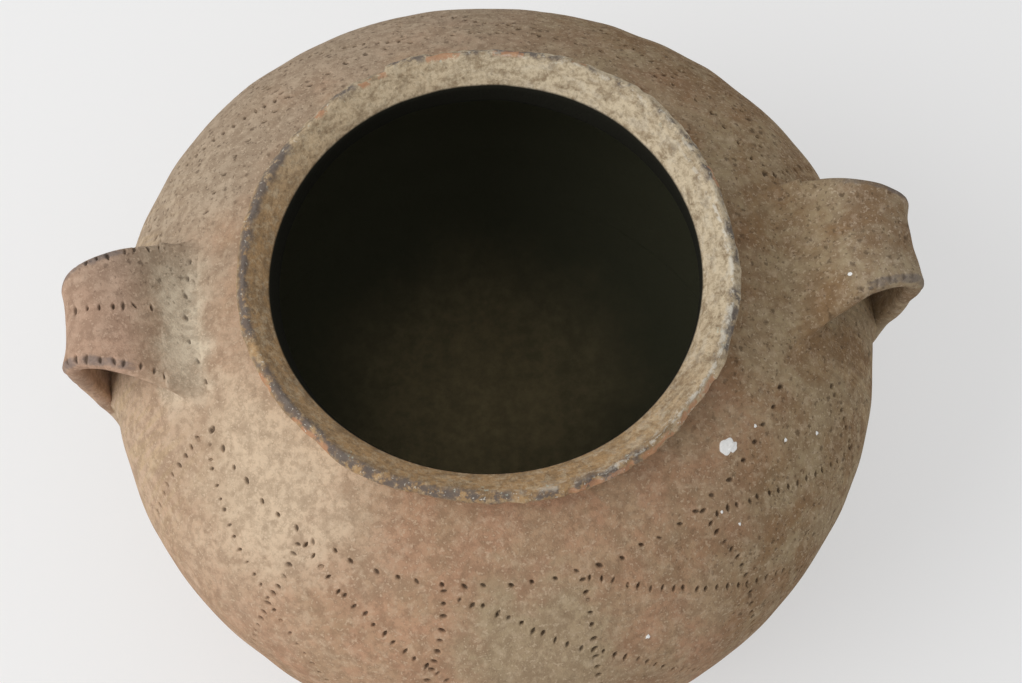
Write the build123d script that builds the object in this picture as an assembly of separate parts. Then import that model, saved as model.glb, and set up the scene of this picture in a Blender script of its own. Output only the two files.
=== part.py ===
"""A hand-built clay olla: a squat round pot with a flared rim and two strap handles.

The pot is modelled as the potter joins it: a moulded base, rings of clay raised on it with slanted
scarf joints, a rim ring, and two strap handles pressed onto beds of luting clay on the shoulder and belly.
Millimetres, +Z up, origin at the centre of the foot, handles along X.
"""

from build123d import *

import os
from math import acos, cos, degrees, radians, sin, sqrt, tan

# Overall shape of the pot
height = 195.0
belly_radius = 150.0
belly_height = 113.0
foot_radius = 48.0
wall = 7.5
floor_thickness = 9.0

# Neck and flared rim
neck_radius = 85.5
rim_rise = 13.0
neck_wall = 6.5
neck_hollow = 1.0
lip_overhang = 7.0
lip_thickness = 6.0
lip_bulge = 1.2
lip_top_inset = 2.0
lip_slope_drop = 5.0
throat_round = 3.0

# Rings of clay, raised from the moulded base to the rim
base_edge_angle = -55.0
lower_coil_count = 4
shoulder_coil_count = 3
scarf_angle = 4.0
quarter_angle = 90.0
cutter_margin = 14.0

# Strap handles: places of the corners of a strap's outer face, from the belly, the neck and the shoulder
strap_thickness = 7.0
strap_root_inset = 42.0
strap_root_sink = 8.3
strap_crest_inset = 10.0
strap_crest_drop = 0.5
strap_knuckle_reach = 14.0
strap_knuckle_drop = 6.0
strap_heel_reach = 12.0
strap_heel_rise = 19.0
strap_foot_inset = 2.0
strap_foot_drop = 25.0
crest_bend_reach = 11.35
knuckle_bend_reach = 12.3
heel_bend_reach = 5.3

# Half widths of a strap from its root on the shoulder to its foot on the belly
strap_root_half_width = 34.0
strap_waist_inset = 12.0
strap_waist_half_width = 25.0
strap_knuckle_half_width = 20.5
strap_heel_half_width = 14.5
strap_foot_half_width = 16.0

# Beds of luting clay under the strap ends
bed_thickness = 2.5
bed_border = 4.0
bed_corner_round = 8.0

# Both handles were set by eye, turned a little to the back from the line through the middle
handle_angle = 2.5


def neck_height():
    """Height of the narrowest place of the outside, under the flared rim."""
    return height - rim_rise


def mouth_radius():
    """Inner radius of the neck."""
    return neck_radius - neck_wall


def shoulder_rise():
    """Height of the shoulder ellipse above the belly, set so that it passes through the neck."""
    return (neck_height() - belly_height) / sqrt(1 - (neck_radius / belly_radius) ** 2)


def turn_at(radius, inset=0.0):
    """Angle on the shoulder ellipse, above the belly, where the wall has this radius."""
    return degrees(acos(radius / (belly_radius - inset)))


def wall_point(turn, inset=0.0):
    """Point (radius, height) of the wall, turn degrees above the belly and inset from its outside."""
    if turn < 0:
        across = belly_radius - foot_radius - inset
        drop = belly_height - floor_thickness * inset / wall
        return Vector(foot_radius + across * cos(radians(turn)), belly_height + drop * sin(radians(turn)))
    rise = shoulder_rise() - inset
    return Vector((belly_radius - inset) * cos(radians(turn)), belly_height + rise * sin(radians(turn)))


def lower_arc(inset=0.0, floor=0.0):
    """Quarter ellipse from the foot up to the belly."""
    return EllipticalCenterArc(
        (foot_radius, belly_height),
        belly_radius - foot_radius - inset,
        belly_height - floor,
        -quarter_angle,
        arc_size=quarter_angle,
    )


def upper_arc(end_radius, inset=0.0):
    """Shoulder ellipse from the belly up to where it has the end radius."""
    return EllipticalCenterArc(
        (0, belly_height),
        belly_radius - inset,
        shoulder_rise() - inset,
        0,
        arc_size=turn_at(end_radius, inset),
    )


def pot_section():
    """Half section of the whole clay wall: radius along X, height along Y."""
    neck = Vector(neck_radius, neck_height())
    lip_radius = neck_radius + lip_overhang
    lip_low = Vector(lip_radius, height - lip_thickness)
    lip_edge = Vector(lip_radius + lip_bulge, height - lip_thickness / 2)
    lip_top = Vector(lip_radius - lip_top_inset, height)
    neck_middle = (neck + lip_low) / 2 + Vector(-neck_hollow, neck_hollow)
    slope_foot = Vector(mouth_radius() + throat_round, height - lip_slope_drop)
    throat_top = Vector(mouth_radius(), height - lip_slope_drop - throat_round)
    outline = [
        Line((0, 0), (foot_radius, 0)),
        lower_arc(),
        upper_arc(neck_radius),
        ThreePointArc(neck, neck_middle, lip_low),
        ThreePointArc(lip_low, lip_edge, lip_top),
        Line(lip_top, slope_foot),
        TangentArc(slope_foot, throat_top, tangent=slope_foot - lip_top),
        Line(throat_top, wall_point(turn_at(mouth_radius(), wall), wall)),
        upper_arc(mouth_radius(), wall),
        lower_arc(wall, floor_thickness),
        Line((foot_radius, floor_thickness), (0, floor_thickness)),
        Line((0, floor_thickness), (0, 0)),
    ]
    return make_face(outline)


def turned(section):
    """Solid of a section turned once round the pot's axis."""
    return revolve(Plane.XZ * section, Axis.Z)


def seam(turn):
    """Ends of a scarf joint's slanted line, drawn out past both faces of the wall."""
    outside, inside = wall_point(turn), wall_point(turn + scarf_angle, wall)
    outward = (outside - inside).normalized() * cutter_margin
    return outside + outward, inside - outward


def between_seams(low, high):
    """Part of the wall's section between two scarf joints."""
    low_out, low_in = seam(low)
    high_out, high_in = seam(high)
    return pot_section() & make_face(Polyline(low_out, high_out, high_in, low_in, close=True))


def seam_turns():
    """Turn of every scarf joint, from the moulded base up to the rim."""
    lower = [base_edge_angle * (1 - i / lower_coil_count) for i in range(lower_coil_count)]
    last = turn_at(neck_radius) - scarf_angle
    upper = [last * i / shoulder_coil_count for i in range(shoulder_coil_count + 1)]
    return lower + upper


def moulded_base():
    """Floor and lower curve, pressed over a mould as one sheet of clay."""
    top_out, top_in = seam(base_edge_angle)
    far_out = Vector(top_out.X, -cutter_margin)
    band = make_face(Polyline((0, -cutter_margin), far_out, top_out, top_in, (0, top_in.Y), close=True))
    return turned(pot_section() & band)


def rim_coil():
    """Last ring of clay, drawn up into the neck and turned out into the lip."""
    low_out, low_in = seam(seam_turns()[-1])
    top = height + cutter_margin
    band = make_face(Polyline(low_in, low_out, (low_out.X, top), (low_in.X, top), close=True))
    return turned(pot_section() & band)


def wall_coils():
    """Rings of clay between the moulded base and the rim, by name."""
    names = [f"lower_wall_coil_{i + 1}" for i in range(lower_coil_count)]
    names += [f"shoulder_coil_{i + 1}" for i in range(shoulder_coil_count)]
    turns = seam_turns()
    return {name: turned(between_seams(turns[i], turns[i + 1])) for i, name in enumerate(names)}


def pot_envelope(swell=0.0):
    """Solid that the outside of the wall encloses up to the neck, swollen for the beds of clay."""
    top = wall_point(turn_at(neck_radius), -swell)
    outline = [
        Line((0, -swell), (foot_radius, -swell)),
        lower_arc(-swell, -swell),
        EllipticalCenterArc(
            (0, belly_height), belly_radius + swell, shoulder_rise() + swell, 0, arc_size=turn_at(neck_radius)
        ),
        Line(top, (0, top.Y)),
        Line((0, top.Y), (0, -swell)),
    ]
    return turned(make_face(outline))


def strap_corners():
    """Corners of a strap's outer face, from its root in the shoulder to its foot on the belly."""
    root_radius = belly_radius - strap_root_inset
    crest_height = neck_height() - strap_crest_drop
    return [
        Vector(root_radius, wall_point(turn_at(root_radius)).Y - strap_root_sink),
        Vector(belly_radius - strap_crest_inset, crest_height),
        Vector(belly_radius + strap_knuckle_reach, crest_height - strap_knuckle_drop),
        Vector(belly_radius + strap_heel_reach, belly_height + strap_heel_rise),
        Vector(belly_radius - strap_foot_inset, belly_height - strap_foot_drop),
    ]


def bend_radius(before, corner, after, reach):
    """Radius of a rounded bend that starts and ends this far along the legs from its corner."""
    return reach / tan(radians((corner - before).get_angle(after - corner) / 2))


def strap_side():
    """Side view of a strap: its outer face with rounded bends, and its inner face a thickness away."""
    corners = strap_corners()
    reaches = (crest_bend_reach, knuckle_bend_reach, heel_bend_reach)
    bends = [bend_radius(*corners[i:i + 3], reach) for i, reach in enumerate(reaches)]
    outer = FilletPolyline(*corners, radius=bends)
    return make_face(offset(outer, strap_thickness, side=Side.RIGHT, closed=True))


def strap_plan():
    """Strap seen from above: wide where it grows out of the shoulder, and narrow at the knuckle."""
    root, _, knuckle, _, _ = strap_corners()
    right = ThreePointArc(
        (root.X, -strap_root_half_width),
        (belly_radius - strap_waist_inset, -strap_waist_half_width),
        (knuckle.X, -strap_knuckle_half_width),
    )
    left = right.mirror(Plane.XZ)
    return make_face([right, left, Line(right @ 0, left @ 0), Line(right @ 1, left @ 1)])


def limb_trim():
    """Clay cut away on one side of the falling limb, which narrows from the knuckle to the heel."""
    _, _, knuckle, heel, foot = strap_corners()
    edge = ThreePointArc(
        (strap_knuckle_half_width, knuckle.Y - knuckle_bend_reach),
        (strap_heel_half_width, heel.Y),
        (strap_foot_half_width, foot.Y),
    )
    low = Vector(strap_root_half_width, foot.Y)
    top = Vector(strap_root_half_width, knuckle.Y - knuckle_bend_reach)
    face = make_face([edge, Line(edge @ 1, low), Line(low, top), Line(top, edge @ 0)])
    seat = Plane((belly_radius - strap_waist_inset, 0, 0), x_dir=(0, 1, 0), z_dir=(1, 0, 0))
    return extrude(seat * face, knuckle.X - seat.origin.X)


def strap():
    """One strap before its ends are fitted to the pot, pointing along +X."""
    side = extrude(Plane.XZ * strap_side(), strap_root_half_width, both=True)
    trim = limb_trim()
    return (side & extrude(strap_plan(), height)) - trim - mirror(trim, Plane.XZ)


def bed_of(foot, shell, facing):
    """Bed of luting clay that reaches past one strap end all round, cut from a thin shell over the pot."""
    box = foot.bounding_box()
    along = box.size.X if facing.Z else box.size.Z
    seat = Plane(box.center() + facing * belly_radius, x_dir=(0, 1, 0), z_dir=facing)
    pad = seat * RectangleRounded(box.size.Y + 2 * bed_border, along + 2 * bed_border, bed_corner_round)
    return shell & extrude(pad, -belly_radius - wall - along)


def handles():
    """Both straps with the beds of clay that hold them, by name."""
    swollen = pot_envelope(bed_thickness)
    shell = swollen - pot_envelope()
    blank = strap()
    lower_foot, upper_foot = (blank & shell).solids().sort_by(Axis.Z)
    upper_bed = bed_of(upper_foot, shell, Vector(0, 0, 1))
    lower_bed = bed_of(lower_foot, shell, Vector(1, 0, 0))
    fitted = blank - swollen
    nodes = {}
    for side, angle in {"right": handle_angle, "left": 2 * quarter_angle - handle_angle}.items():
        nodes[f"{side}_handle_strap"] = Rot(0, 0, angle) * fitted
        nodes[f"{side}_upper_luting_bed"] = Rot(0, 0, angle) * upper_bed
        nodes[f"{side}_lower_luting_bed"] = Rot(0, 0, angle) * lower_bed
    return nodes


def main():
    """Writes one STEP file for each piece."""
    os.makedirs("parts", exist_ok=True)
    pieces = {"moulded_base": moulded_base(), **wall_coils(), "rim_coil": rim_coil(), **handles()}
    for name, piece in pieces.items():
        export_step(piece, f"parts/{name}.step")
        print(name, len(piece.solids()), round(piece.volume))


main()
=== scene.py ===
"""Looks of a hand-built clay olla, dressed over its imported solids.

Every surface is a function of two parameters, worked out on a grid with numpy. Sizes are millimetres in the
part's own frame (+Z up, origin at the centre of the foot, handles along X), and metres in meshes and shaders.
Azimuth is degrees round the axis from +X. Turn is degrees up the wall's ellipses from the belly.
"""

import functools
import itertools
import logging
from abc import ABC, abstractmethod
from dataclasses import dataclass, field, replace
from enum import Enum
from typing import Any

import bpy
import numpy as np
from mathutils import Matrix


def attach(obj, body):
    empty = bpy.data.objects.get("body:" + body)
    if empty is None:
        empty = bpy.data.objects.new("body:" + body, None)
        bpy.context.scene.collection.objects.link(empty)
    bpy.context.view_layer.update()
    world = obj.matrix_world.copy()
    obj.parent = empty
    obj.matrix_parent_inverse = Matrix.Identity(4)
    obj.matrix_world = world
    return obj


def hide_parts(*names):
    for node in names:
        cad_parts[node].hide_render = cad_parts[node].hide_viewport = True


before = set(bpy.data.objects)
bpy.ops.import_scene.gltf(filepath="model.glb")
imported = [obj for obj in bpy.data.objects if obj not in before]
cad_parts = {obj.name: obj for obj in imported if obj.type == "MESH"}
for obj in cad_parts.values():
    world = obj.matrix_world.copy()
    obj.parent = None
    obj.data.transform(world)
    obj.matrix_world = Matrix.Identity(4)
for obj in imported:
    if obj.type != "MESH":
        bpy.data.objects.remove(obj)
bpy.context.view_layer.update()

BODY = "root"
MM = 0.001
FULL_TURN = 360.0

Pair = tuple[float, float]
Triple = tuple[float, float, float]
Array = np.ndarray
Faces = list[Array]
Socket = bpy.types.NodeSocket
Value = Any
Inputs = dict[str | int, Value]

log = logging.getLogger("olla")


def smooth(value: Array) -> Array:
    """Soft step from 0 to 1: the value cut to 0..1, with level ends (3t² − 2t³)."""
    t = np.clip(value, 0.0, 1.0)
    return t * t * (3.0 - 2.0 * t)


def bump(value: Array, middle: float, reach: float) -> Array:
    """Bell of height 1 at the middle, a Gaussian with this reach."""
    return np.exp(-(((value - middle) / reach) ** 2))


def apart(azimuth: Array, other: Array | float) -> Array:
    """Shortest angle from one azimuth to another, −180 to 180 degrees."""
    return (azimuth - other + FULL_TURN / 2.0) % FULL_TURN - FULL_TURN / 2.0


def unit(angle: Array | float) -> tuple[Array, Array]:
    """Cosine and sine of an angle in degrees."""
    return np.cos(np.radians(angle)), np.sin(np.radians(angle))


def around(radius: Array | float, height: Array, azimuth: Array) -> Array:
    """Points at a radius and a height, turned round the axis to an azimuth."""
    cos, sin = unit(azimuth)
    return np.stack([radius * cos, radius * sin, height], axis=-1)


def turned(points: Array, angle: float) -> Array:
    """Points turned round the axis by an angle in degrees."""
    cos, sin = unit(angle)
    return points @ np.array([[cos, sin, 0.0], [-sin, cos, 0.0], [0.0, 0.0, 1.0]])


def table(*columns: Array | float) -> Array:
    """Columns side by side; a single number fills its column."""
    return np.stack(np.broadcast_arrays(*columns), axis=1)


def lengths(line: Array) -> Array:
    """Way along a line of points, from 0 at the first."""
    return np.concatenate([[0.0], np.cumsum(np.linalg.norm(np.diff(line, axis=0), axis=1))])


def between(at: Array, known: Array, rows: Array) -> Array:
    """Rows of a table, read off between the places where it is known."""
    return np.stack([np.interp(at, known, column) for column in rows.T], axis=1)


@dataclass(frozen=True)
class Waves:
    """Uneven field: a sum of plane cosine waves, with directions, lengths and phases drawn from a seed."""

    seed: int
    count: int
    shortest: float
    longest: float
    height: float

    def at(self, points: Array) -> Array:
        """Works out the field.

        Args:
            points: N rows of coordinates.

        Returns:
            N values, whose usual size is the height.
        """
        draw = np.random.default_rng(self.seed)
        length = np.exp(draw.uniform(np.log(self.shortest), np.log(self.longest), self.count))
        direction = draw.normal(size=(self.count, points.shape[1]))
        direction /= np.linalg.norm(direction, axis=1)[:, None] * length[:, None]
        phase = draw.uniform(0.0, 2.0 * np.pi, self.count)
        waves = np.cos(2.0 * np.pi * points @ direction.T + phase)
        return self.height * np.sqrt(2.0 / self.count) * waves.sum(axis=1)


@dataclass(frozen=True)
class PotShape:
    """Profile of the pot: a quarter ellipse from foot to belly, and an ellipse from belly to neck."""

    height: float = 195.0
    belly_radius: float = 150.0
    belly_height: float = 113.0
    foot_radius: float = 48.0
    wall: float = 7.5
    floor: float = 9.0
    neck_radius: float = 85.5
    rim_rise: float = 13.0
    neck_wall: float = 6.5
    base_edge: float = -55.0
    scarf: float = 4.0
    lower_rings: int = 4
    shoulder_rings: int = 3

    @property
    def neck_height(self) -> float:
        """Height of the neck's narrowest place."""
        return self.height - self.rim_rise

    @property
    def rise(self) -> float:
        """Height of the shoulder ellipse above the belly; it passes through the neck."""
        slender = self.neck_radius / self.belly_radius
        return (self.neck_height - self.belly_height) / np.sqrt(1.0 - slender ** 2)

    @property
    def neck_turn(self) -> float:
        """Turn of the neck on the shoulder ellipse."""
        return float(np.degrees(np.arccos(self.neck_radius / self.belly_radius)))

    @property
    def rim_turn(self) -> float:
        """Turn of the joint under the rim."""
        return self.neck_turn - self.scarf

    def seams(self) -> Array:
        """Divides the wall into rings.

        Returns:
            Turn of every scarf joint, from the base up to the rim.
        """
        lower = self.base_edge * (1.0 - np.arange(self.lower_rings) / self.lower_rings)
        upper = self.rim_turn * np.arange(self.shoulder_rings + 1) / self.shoulder_rings
        return np.concatenate([lower, upper])

    def ellipse(self, lower: Array) -> tuple[Array, Array, Array]:
        """Radius of the middle, half width and half height of the ellipse below or above the belly."""
        middle = np.where(lower, self.foot_radius, 0.0)
        return middle, self.belly_radius - middle, np.where(lower, self.belly_height, self.rise)

    def section(self, turn: Array, inset: Array | float = 0.0) -> tuple[Array, Array]:
        """Radius and height of the wall: r = middle + across·cos(turn), z = belly + tall·sin(turn).

        Args:
            turn: degrees above the belly.
            inset: depth under the outside; towards the foot it grows to the floor's thickness.

        Returns:
            Radius and height of each place.
        """
        cos, sin = unit(turn)
        middle, across, tall = self.ellipse(turn < 0.0)
        deep = inset * np.where(turn < 0.0, self.floor / self.wall, 1.0)
        return middle + (across - inset) * cos, self.belly_height + (tall - deep) * sin

    def stretch(self, turn: Array) -> Array:
        """Millimetres along the wall for one degree of turn, the size of the ellipse's derivative.

        Args:
            turn: degrees above the belly.

        Returns:
            Length of one degree at each turn.
        """
        cos, sin = unit(turn)
        _, across, tall = self.ellipse(turn < 0.0)
        return np.radians(np.hypot(across * sin, tall * cos))

    def place(self, azimuth: Array, turn: Array, inset: Array | float = 0.0) -> Array:
        """Points of the wall: its section turned round the axis."""
        return around(*self.section(turn, inset), azimuth)

    def normal(self, azimuth: Array, turn: Array) -> Array:
        """Outward directions: (cos/across, sin/tall), brought to length 1 and turned round the axis.

        Args:
            azimuth: azimuth of each place.
            turn: turn of each place.

        Returns:
            Direction at each place.
        """
        cos, sin = unit(turn)
        _, across, tall = self.ellipse(turn < 0.0)
        size = np.hypot(cos / across, sin / tall)
        return around(cos / across / size, sin / tall / size, azimuth)

    def over(self, points: Array) -> tuple[Array, Array]:
        """Distance over the wall's outside, and its direction, from the equation (x/a)² + (z/b)² = 1.

        Args:
            points: N places near the wall.

        Returns:
            N distances over the wall, and the N outward directions there.
        """
        flat = np.hypot(points[:, 0], points[:, 1])
        middle, across, tall = self.ellipse(points[:, 2] < self.belly_height)
        out, rising = (flat - middle) / across, (points[:, 2] - self.belly_height) / tall
        size, slope = np.hypot(out, rising), np.hypot(out / across, rising / tall)
        outward = (out / across / slope / flat)[:, None] * points[:, :2]
        return (size - 1.0) * size / slope, np.column_stack([outward, rising / tall / slope])


@dataclass(frozen=True)
class HandWork:
    """Unevenness of hand work, one field in space for every piece, so that neighbours keep together."""

    lean: float = 2.2
    lean_azimuth: float = -6.1
    lean_top: float = 184.0
    settled: float = 14.0
    slow: Waves = Waves(11, 14, 110.0, 260.0, 0.55)
    press: Waves = Waves(12, 48, 16.0, 48.0, 0.17)

    def moved(self, points: Array, normals: Array, share: Array | float = 1.0) -> Array:
        """Moves points sideways by the lean, a half sine of the height, and along normals by two fields.

        Args:
            points: N places.
            normals: N outward directions.
            share: part of the unevenness that shows.

        Returns:
            N moved places.
        """
        height = points[:, 2]
        sideways = self.lean * np.sin(np.pi * np.clip(height / self.lean_top, 0.0, 1.0))
        uneven = (self.slow.at(points) + self.press.at(points)) * smooth(height / self.settled) * share
        leant = np.array([*unit(self.lean_azimuth), 0.0])
        return points + sideways[:, None] * leant + uneven[:, None] * normals


def fine_net(flags: Array, parts: int, closed: bool) -> tuple[Array, Array, Faces]:
    """Lays a net of quads that is finer where it is flagged.

    A flagged quad is divided into parts × parts. A whole quad beside it keeps its corners and takes in the
    new knots on the shared side. Columns always run round and close.

    Args:
        flags: rows × columns, true where a quad is divided.
        parts: divisions of one side of a flagged quad.
        closed: the rows close too; otherwise each end gets one cap.

    Returns:
        Row and column places of the knots, and the faces by number of corners.
    """
    rows, columns = flags.shape
    tall, wide = rows * parts, columns * parts

    def knot(p: Array, q: Array) -> Array:
        """Number of the knot at a fine row and column."""
        return (p % tall if closed else p) * wide + q % wide

    i, j = (index[:, None] * parts for index in np.nonzero(flags))
    down, along = (part.ravel() for part in np.meshgrid(np.arange(parts), np.arange(parts), indexing="ij"))
    p, q = (i + down).ravel(), (j + along).ravel()
    faces = [np.stack([knot(p, q), knot(p, q + 1), knot(p + 1, q + 1), knot(p + 1, q)], axis=1)]
    low, high = np.roll(flags, 1, axis=0), np.roll(flags, -1, axis=0)
    if not closed:
        low[0], high[-1] = False, False
    left, right = np.roll(flags, 1, axis=1), np.roll(flags, -1, axis=1)
    for split in itertools.product((False, True), repeat=4):
        match = (low == split[0]) & (right == split[1]) & (high == split[2]) & (left == split[3])
        i, j = (index[:, None] * parts for index in np.nonzero(match & ~flags))
        steps = [np.arange(parts)[None, :] if one else np.zeros((1, 1), int) for one in split]
        sides = [
            knot(i + 0 * steps[0], j + steps[0]),
            knot(i + steps[1], j + parts + 0 * steps[1]),
            knot(i + parts + 0 * steps[2], j + parts - steps[2]),
            knot(i + parts - steps[3], j + 0 * steps[3]),
        ]
        faces.append(np.concatenate(sides, axis=1))
    faces = [face for face in faces if len(face)]
    numbers = np.unique(np.concatenate([face.ravel() for face in faces]))
    faces = [np.searchsorted(numbers, face) for face in faces]
    if not closed:
        first = np.flatnonzero(numbers < wide)
        last = np.flatnonzero(numbers >= tall * wide)
        faces += [first[::-1][None, :], last[None, :]]
    return numbers // wide / parts, numbers % wide / parts, faces


@dataclass
class Skin:
    """One mesh before it is put in the scene: points, faces, and values carried by the points."""

    points: Array
    faces: Faces
    values: dict[str, Array] = field(default_factory=dict)
    edge_lines: Array | None = None

    def mesh(self, name: str) -> bpy.types.Mesh:
        """Puts the arrays in a mesh, smooth but for edges whose two ends lie on the same edge line.

        Args:
            name: name of the mesh.

        Returns:
            The mesh, in metres.
        """
        mesh = bpy.data.meshes.new(name)
        corners = np.concatenate([face.ravel() for face in self.faces])
        sizes = np.concatenate([np.full(len(face), face.shape[1]) for face in self.faces])
        mesh.vertices.add(len(self.points))
        mesh.vertices.foreach_set("co", (self.points * MM).astype(np.float32).ravel())
        mesh.loops.add(len(corners))
        mesh.loops.foreach_set("vertex_index", corners.astype(np.int32))
        mesh.polygons.add(len(sizes))
        mesh.polygons.foreach_set("loop_start", (np.cumsum(sizes) - sizes).astype(np.int32))
        mesh.update(calc_edges=True)
        mesh.polygons.foreach_set("use_smooth", np.ones(len(sizes), bool))
        for key, value in self.values.items():
            mesh.attributes.new(key, "FLOAT", "POINT").data.foreach_set("value", value.astype(np.float32))
        if self.edge_lines is not None:
            ends = np.zeros(len(mesh.edges) * 2, np.int32)
            mesh.edges.foreach_get("vertices", ends)
            first, second = self.edge_lines[ends.reshape(-1, 2)].T
            sharp = mesh.attributes.new("sharp_edge", "BOOLEAN", "EDGE")
            sharp.data.foreach_set("value", (first == second) & (first > 0))
        mesh.validate()
        return mesh


def link(name: str, data: bpy.types.ID) -> bpy.types.Object:
    """Puts a new object in the scene.

    Args:
        name: name of the object.
        data: its mesh, lamp or lens.

    Returns:
        The object.
    """
    item = bpy.data.objects.new(name, data)
    bpy.context.scene.collection.objects.link(item)
    return item


def put(name: str, skin: Skin, finish: bpy.types.Material, slot: str, *nodes: str) -> bpy.types.Object:
    """Puts one piece in the scene on the pot's body.

    Args:
        name: name of the piece.
        skin: its surface.
        finish: its material.
        slot: not used.
        nodes: the solids that it stands for.

    Returns:
        The piece.
    """
    piece = link(name, skin.mesh(name))
    piece.data.materials.append(finish)
    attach(piece, BODY)
    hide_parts(*nodes)
    return piece


class Piece(ABC):
    """Piece of the pot, which stands for the solid of its name."""

    name: str
    slot: str = "clay_wall"

    @abstractmethod
    def skin(self) -> Skin:
        """Builds the piece's surface."""

    def dress(self, finish: bpy.types.Material) -> bpy.types.Object:
        """Puts the piece in the scene."""
        return put(f"{self.name}_clay", self.skin(), finish, self.slot, self.name)


class Lie(Enum):
    """How a pricked hole lies to its row, as the angle from the row to the hole's long axis."""

    ACROSS = 90.0
    SLANTED = -35.0


@dataclass(frozen=True)
class PunchRow:
    """Row of holes pricked with a pointed stick, through places given as azimuth and turn."""

    places: tuple[Pair, ...]
    lie: Lie = Lie.ACROSS
    pitch: float = 4.8
    length: float = 3.2
    width: float = 1.9
    depth: float = 1.4

    def shifted(self, azimuth: float) -> "PunchRow":
        """Same row further round the pot."""
        return replace(self, places=tuple((a + azimuth, t) for a, t in self.places))


FRONT_ROWS = (
    PunchRow(
        ((-159.5, 38.4), (-135, 38.6), (-113, 39.2), (-80, 40.5), (-40, 40.1), (-24.5, 40.2)),
        Lie.SLANTED, 8.4,
    ),
    PunchRow(((-159.5, 38), (-160, 35), (-158.5, 24), (-157, 10)), pitch=5.4),
    PunchRow(
        ((-157.5, 36.5), (-153.3, 33.6), (-148.3, 31), (-140, 25.7), (-134, 22), (-130, 18), (-125.2, 12),
         (-121, 4)),
        pitch=5.2, length=2.3, width=1.7, depth=1.2,
    ),
    PunchRow(((-132.6, 36.3), (-132.1, 28.3), (-132.7, 21.3), (-133.6, -1))),
    PunchRow((
        (-131.3, 37), (-124.5, 33.4), (-117.3, 29.3), (-112.3, 25.2), (-104.8, 19.7), (-98, 11), (-92, 0)
    )),
    PunchRow(((-104.6, 38.3), (-104.2, 32.2), (-104.8, 24.6), (-106, 16.5), (-106.5, -2))),
    PunchRow((
        (-101.7, 37.3), (-95.6, 35), (-90.2, 31.4), (-85.2, 26.7), (-79.3, 22), (-73.4, 15), (-64.8, -3)
    )),
    PunchRow(((-79.4, 38.8), (-79.4, 33.5), (-80, 26.8), (-80.4, 19.7), (-80.5, 14), (-80.5, -3))),
    PunchRow((
        (-78.2, 38.6), (-74.6, 36.7), (-69.2, 32.7), (-62.3, 27.3), (-56.9, 21.5), (-48.2, 12.6), (-43, 1.5)
    )),
    PunchRow(((-53.6, 39), (-53.9, 35), (-53, 26), (-53.5, 19), (-54.9, 9), (-55, -5.7))),
    PunchRow(((-51.9, 37.2), (-45.8, 33.9), (-40.5, 29.6), (-34.2, 23.7), (-28.8, 17.6), (-25.6, 14.4))),
    PunchRow(((-19.3, 28.3), (-21.9, 23.1), (-24.5, 16.7), (-26.7, 8.4), (-28, -2))),
)
BACK_TURN = 180.0
ROOT_PLACES = (
    (166.5, 40.2), (170.0, 40.2), (173.7, 40.1), (178.1, 40.1), (182.9, 40.2), (187.3, 41.0), (191.5, 41.2)
)
ROOT_AXIS, ROOT_HALF_LENGTH, ROOT_HALF_WIDTH = 12.0, 1.8, 0.75


def root_holes(depth: float) -> Array:
    """Holes across the left strap's root, as rows of azimuth, turn, axis, half sizes and depth."""
    azimuth, turn = np.array(ROOT_PLACES).T
    return table(azimuth, turn, ROOT_AXIS, ROOT_HALF_LENGTH, ROOT_HALF_WIDTH, depth).T


@dataclass(frozen=True)
class Prick:
    """Pricked holes as arrays: two coordinates on the surface, long axis, half sizes and depth."""

    u: Array
    v: Array
    axis: Array
    half_length: Array
    half_width: Array
    depth: Array
    brim: float = 1.12
    dark_depth: float = 1.2
    burr: float = 0.05
    burr_place: float = 1.45
    burr_reach: float = 0.4
    burr_length: float = 1.6

    def press(self, u: Array, v: Array) -> tuple[Array, Array]:
        """Sinks holes in a surface. A hole is a lens, |b|/width + (a/length)² < 1, that deepens smoothly.

        Args:
            u: millimetres along the surface's first direction, to each hole (points × holes).
            v: millimetres along its second direction, to each hole.

        Returns:
            Height of the surface, and 0 to 1 for how far a point lies in a hole.
        """
        cos, sin = unit(self.axis)
        along = (u * cos + v * sin) / self.half_length
        edge = np.abs(v * cos - u * sin) / self.half_width + along * along
        sunk = smooth(self.brim - edge)
        pit = sunk * np.clip(self.depth / self.dark_depth, 0.0, 1.0)
        raised = self.burr * bump(edge, self.burr_place, self.burr_reach) * (np.abs(along) < self.burr_length)
        return (raised - self.depth * sunk).sum(axis=1), pit.max(axis=1, initial=0.0)

    def press_wall(self, shape: PotShape, azimuth: Array, turn: Array) -> tuple[Array, Array]:
        """Sinks holes in the wall; their coordinates are azimuth and turn.

        Args:
            shape: profile of the pot.
            azimuth: azimuth of each point.
            turn: turn of each point.

        Returns:
            Height over the plain wall, and 0 to 1 for how far a point lies in a hole.
        """
        u = np.radians(apart(azimuth[:, None], self.u)) * shape.section(self.v)[0]
        v = (turn[:, None] - self.v) * shape.stretch(self.v)
        return self.press(u, v)


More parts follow.
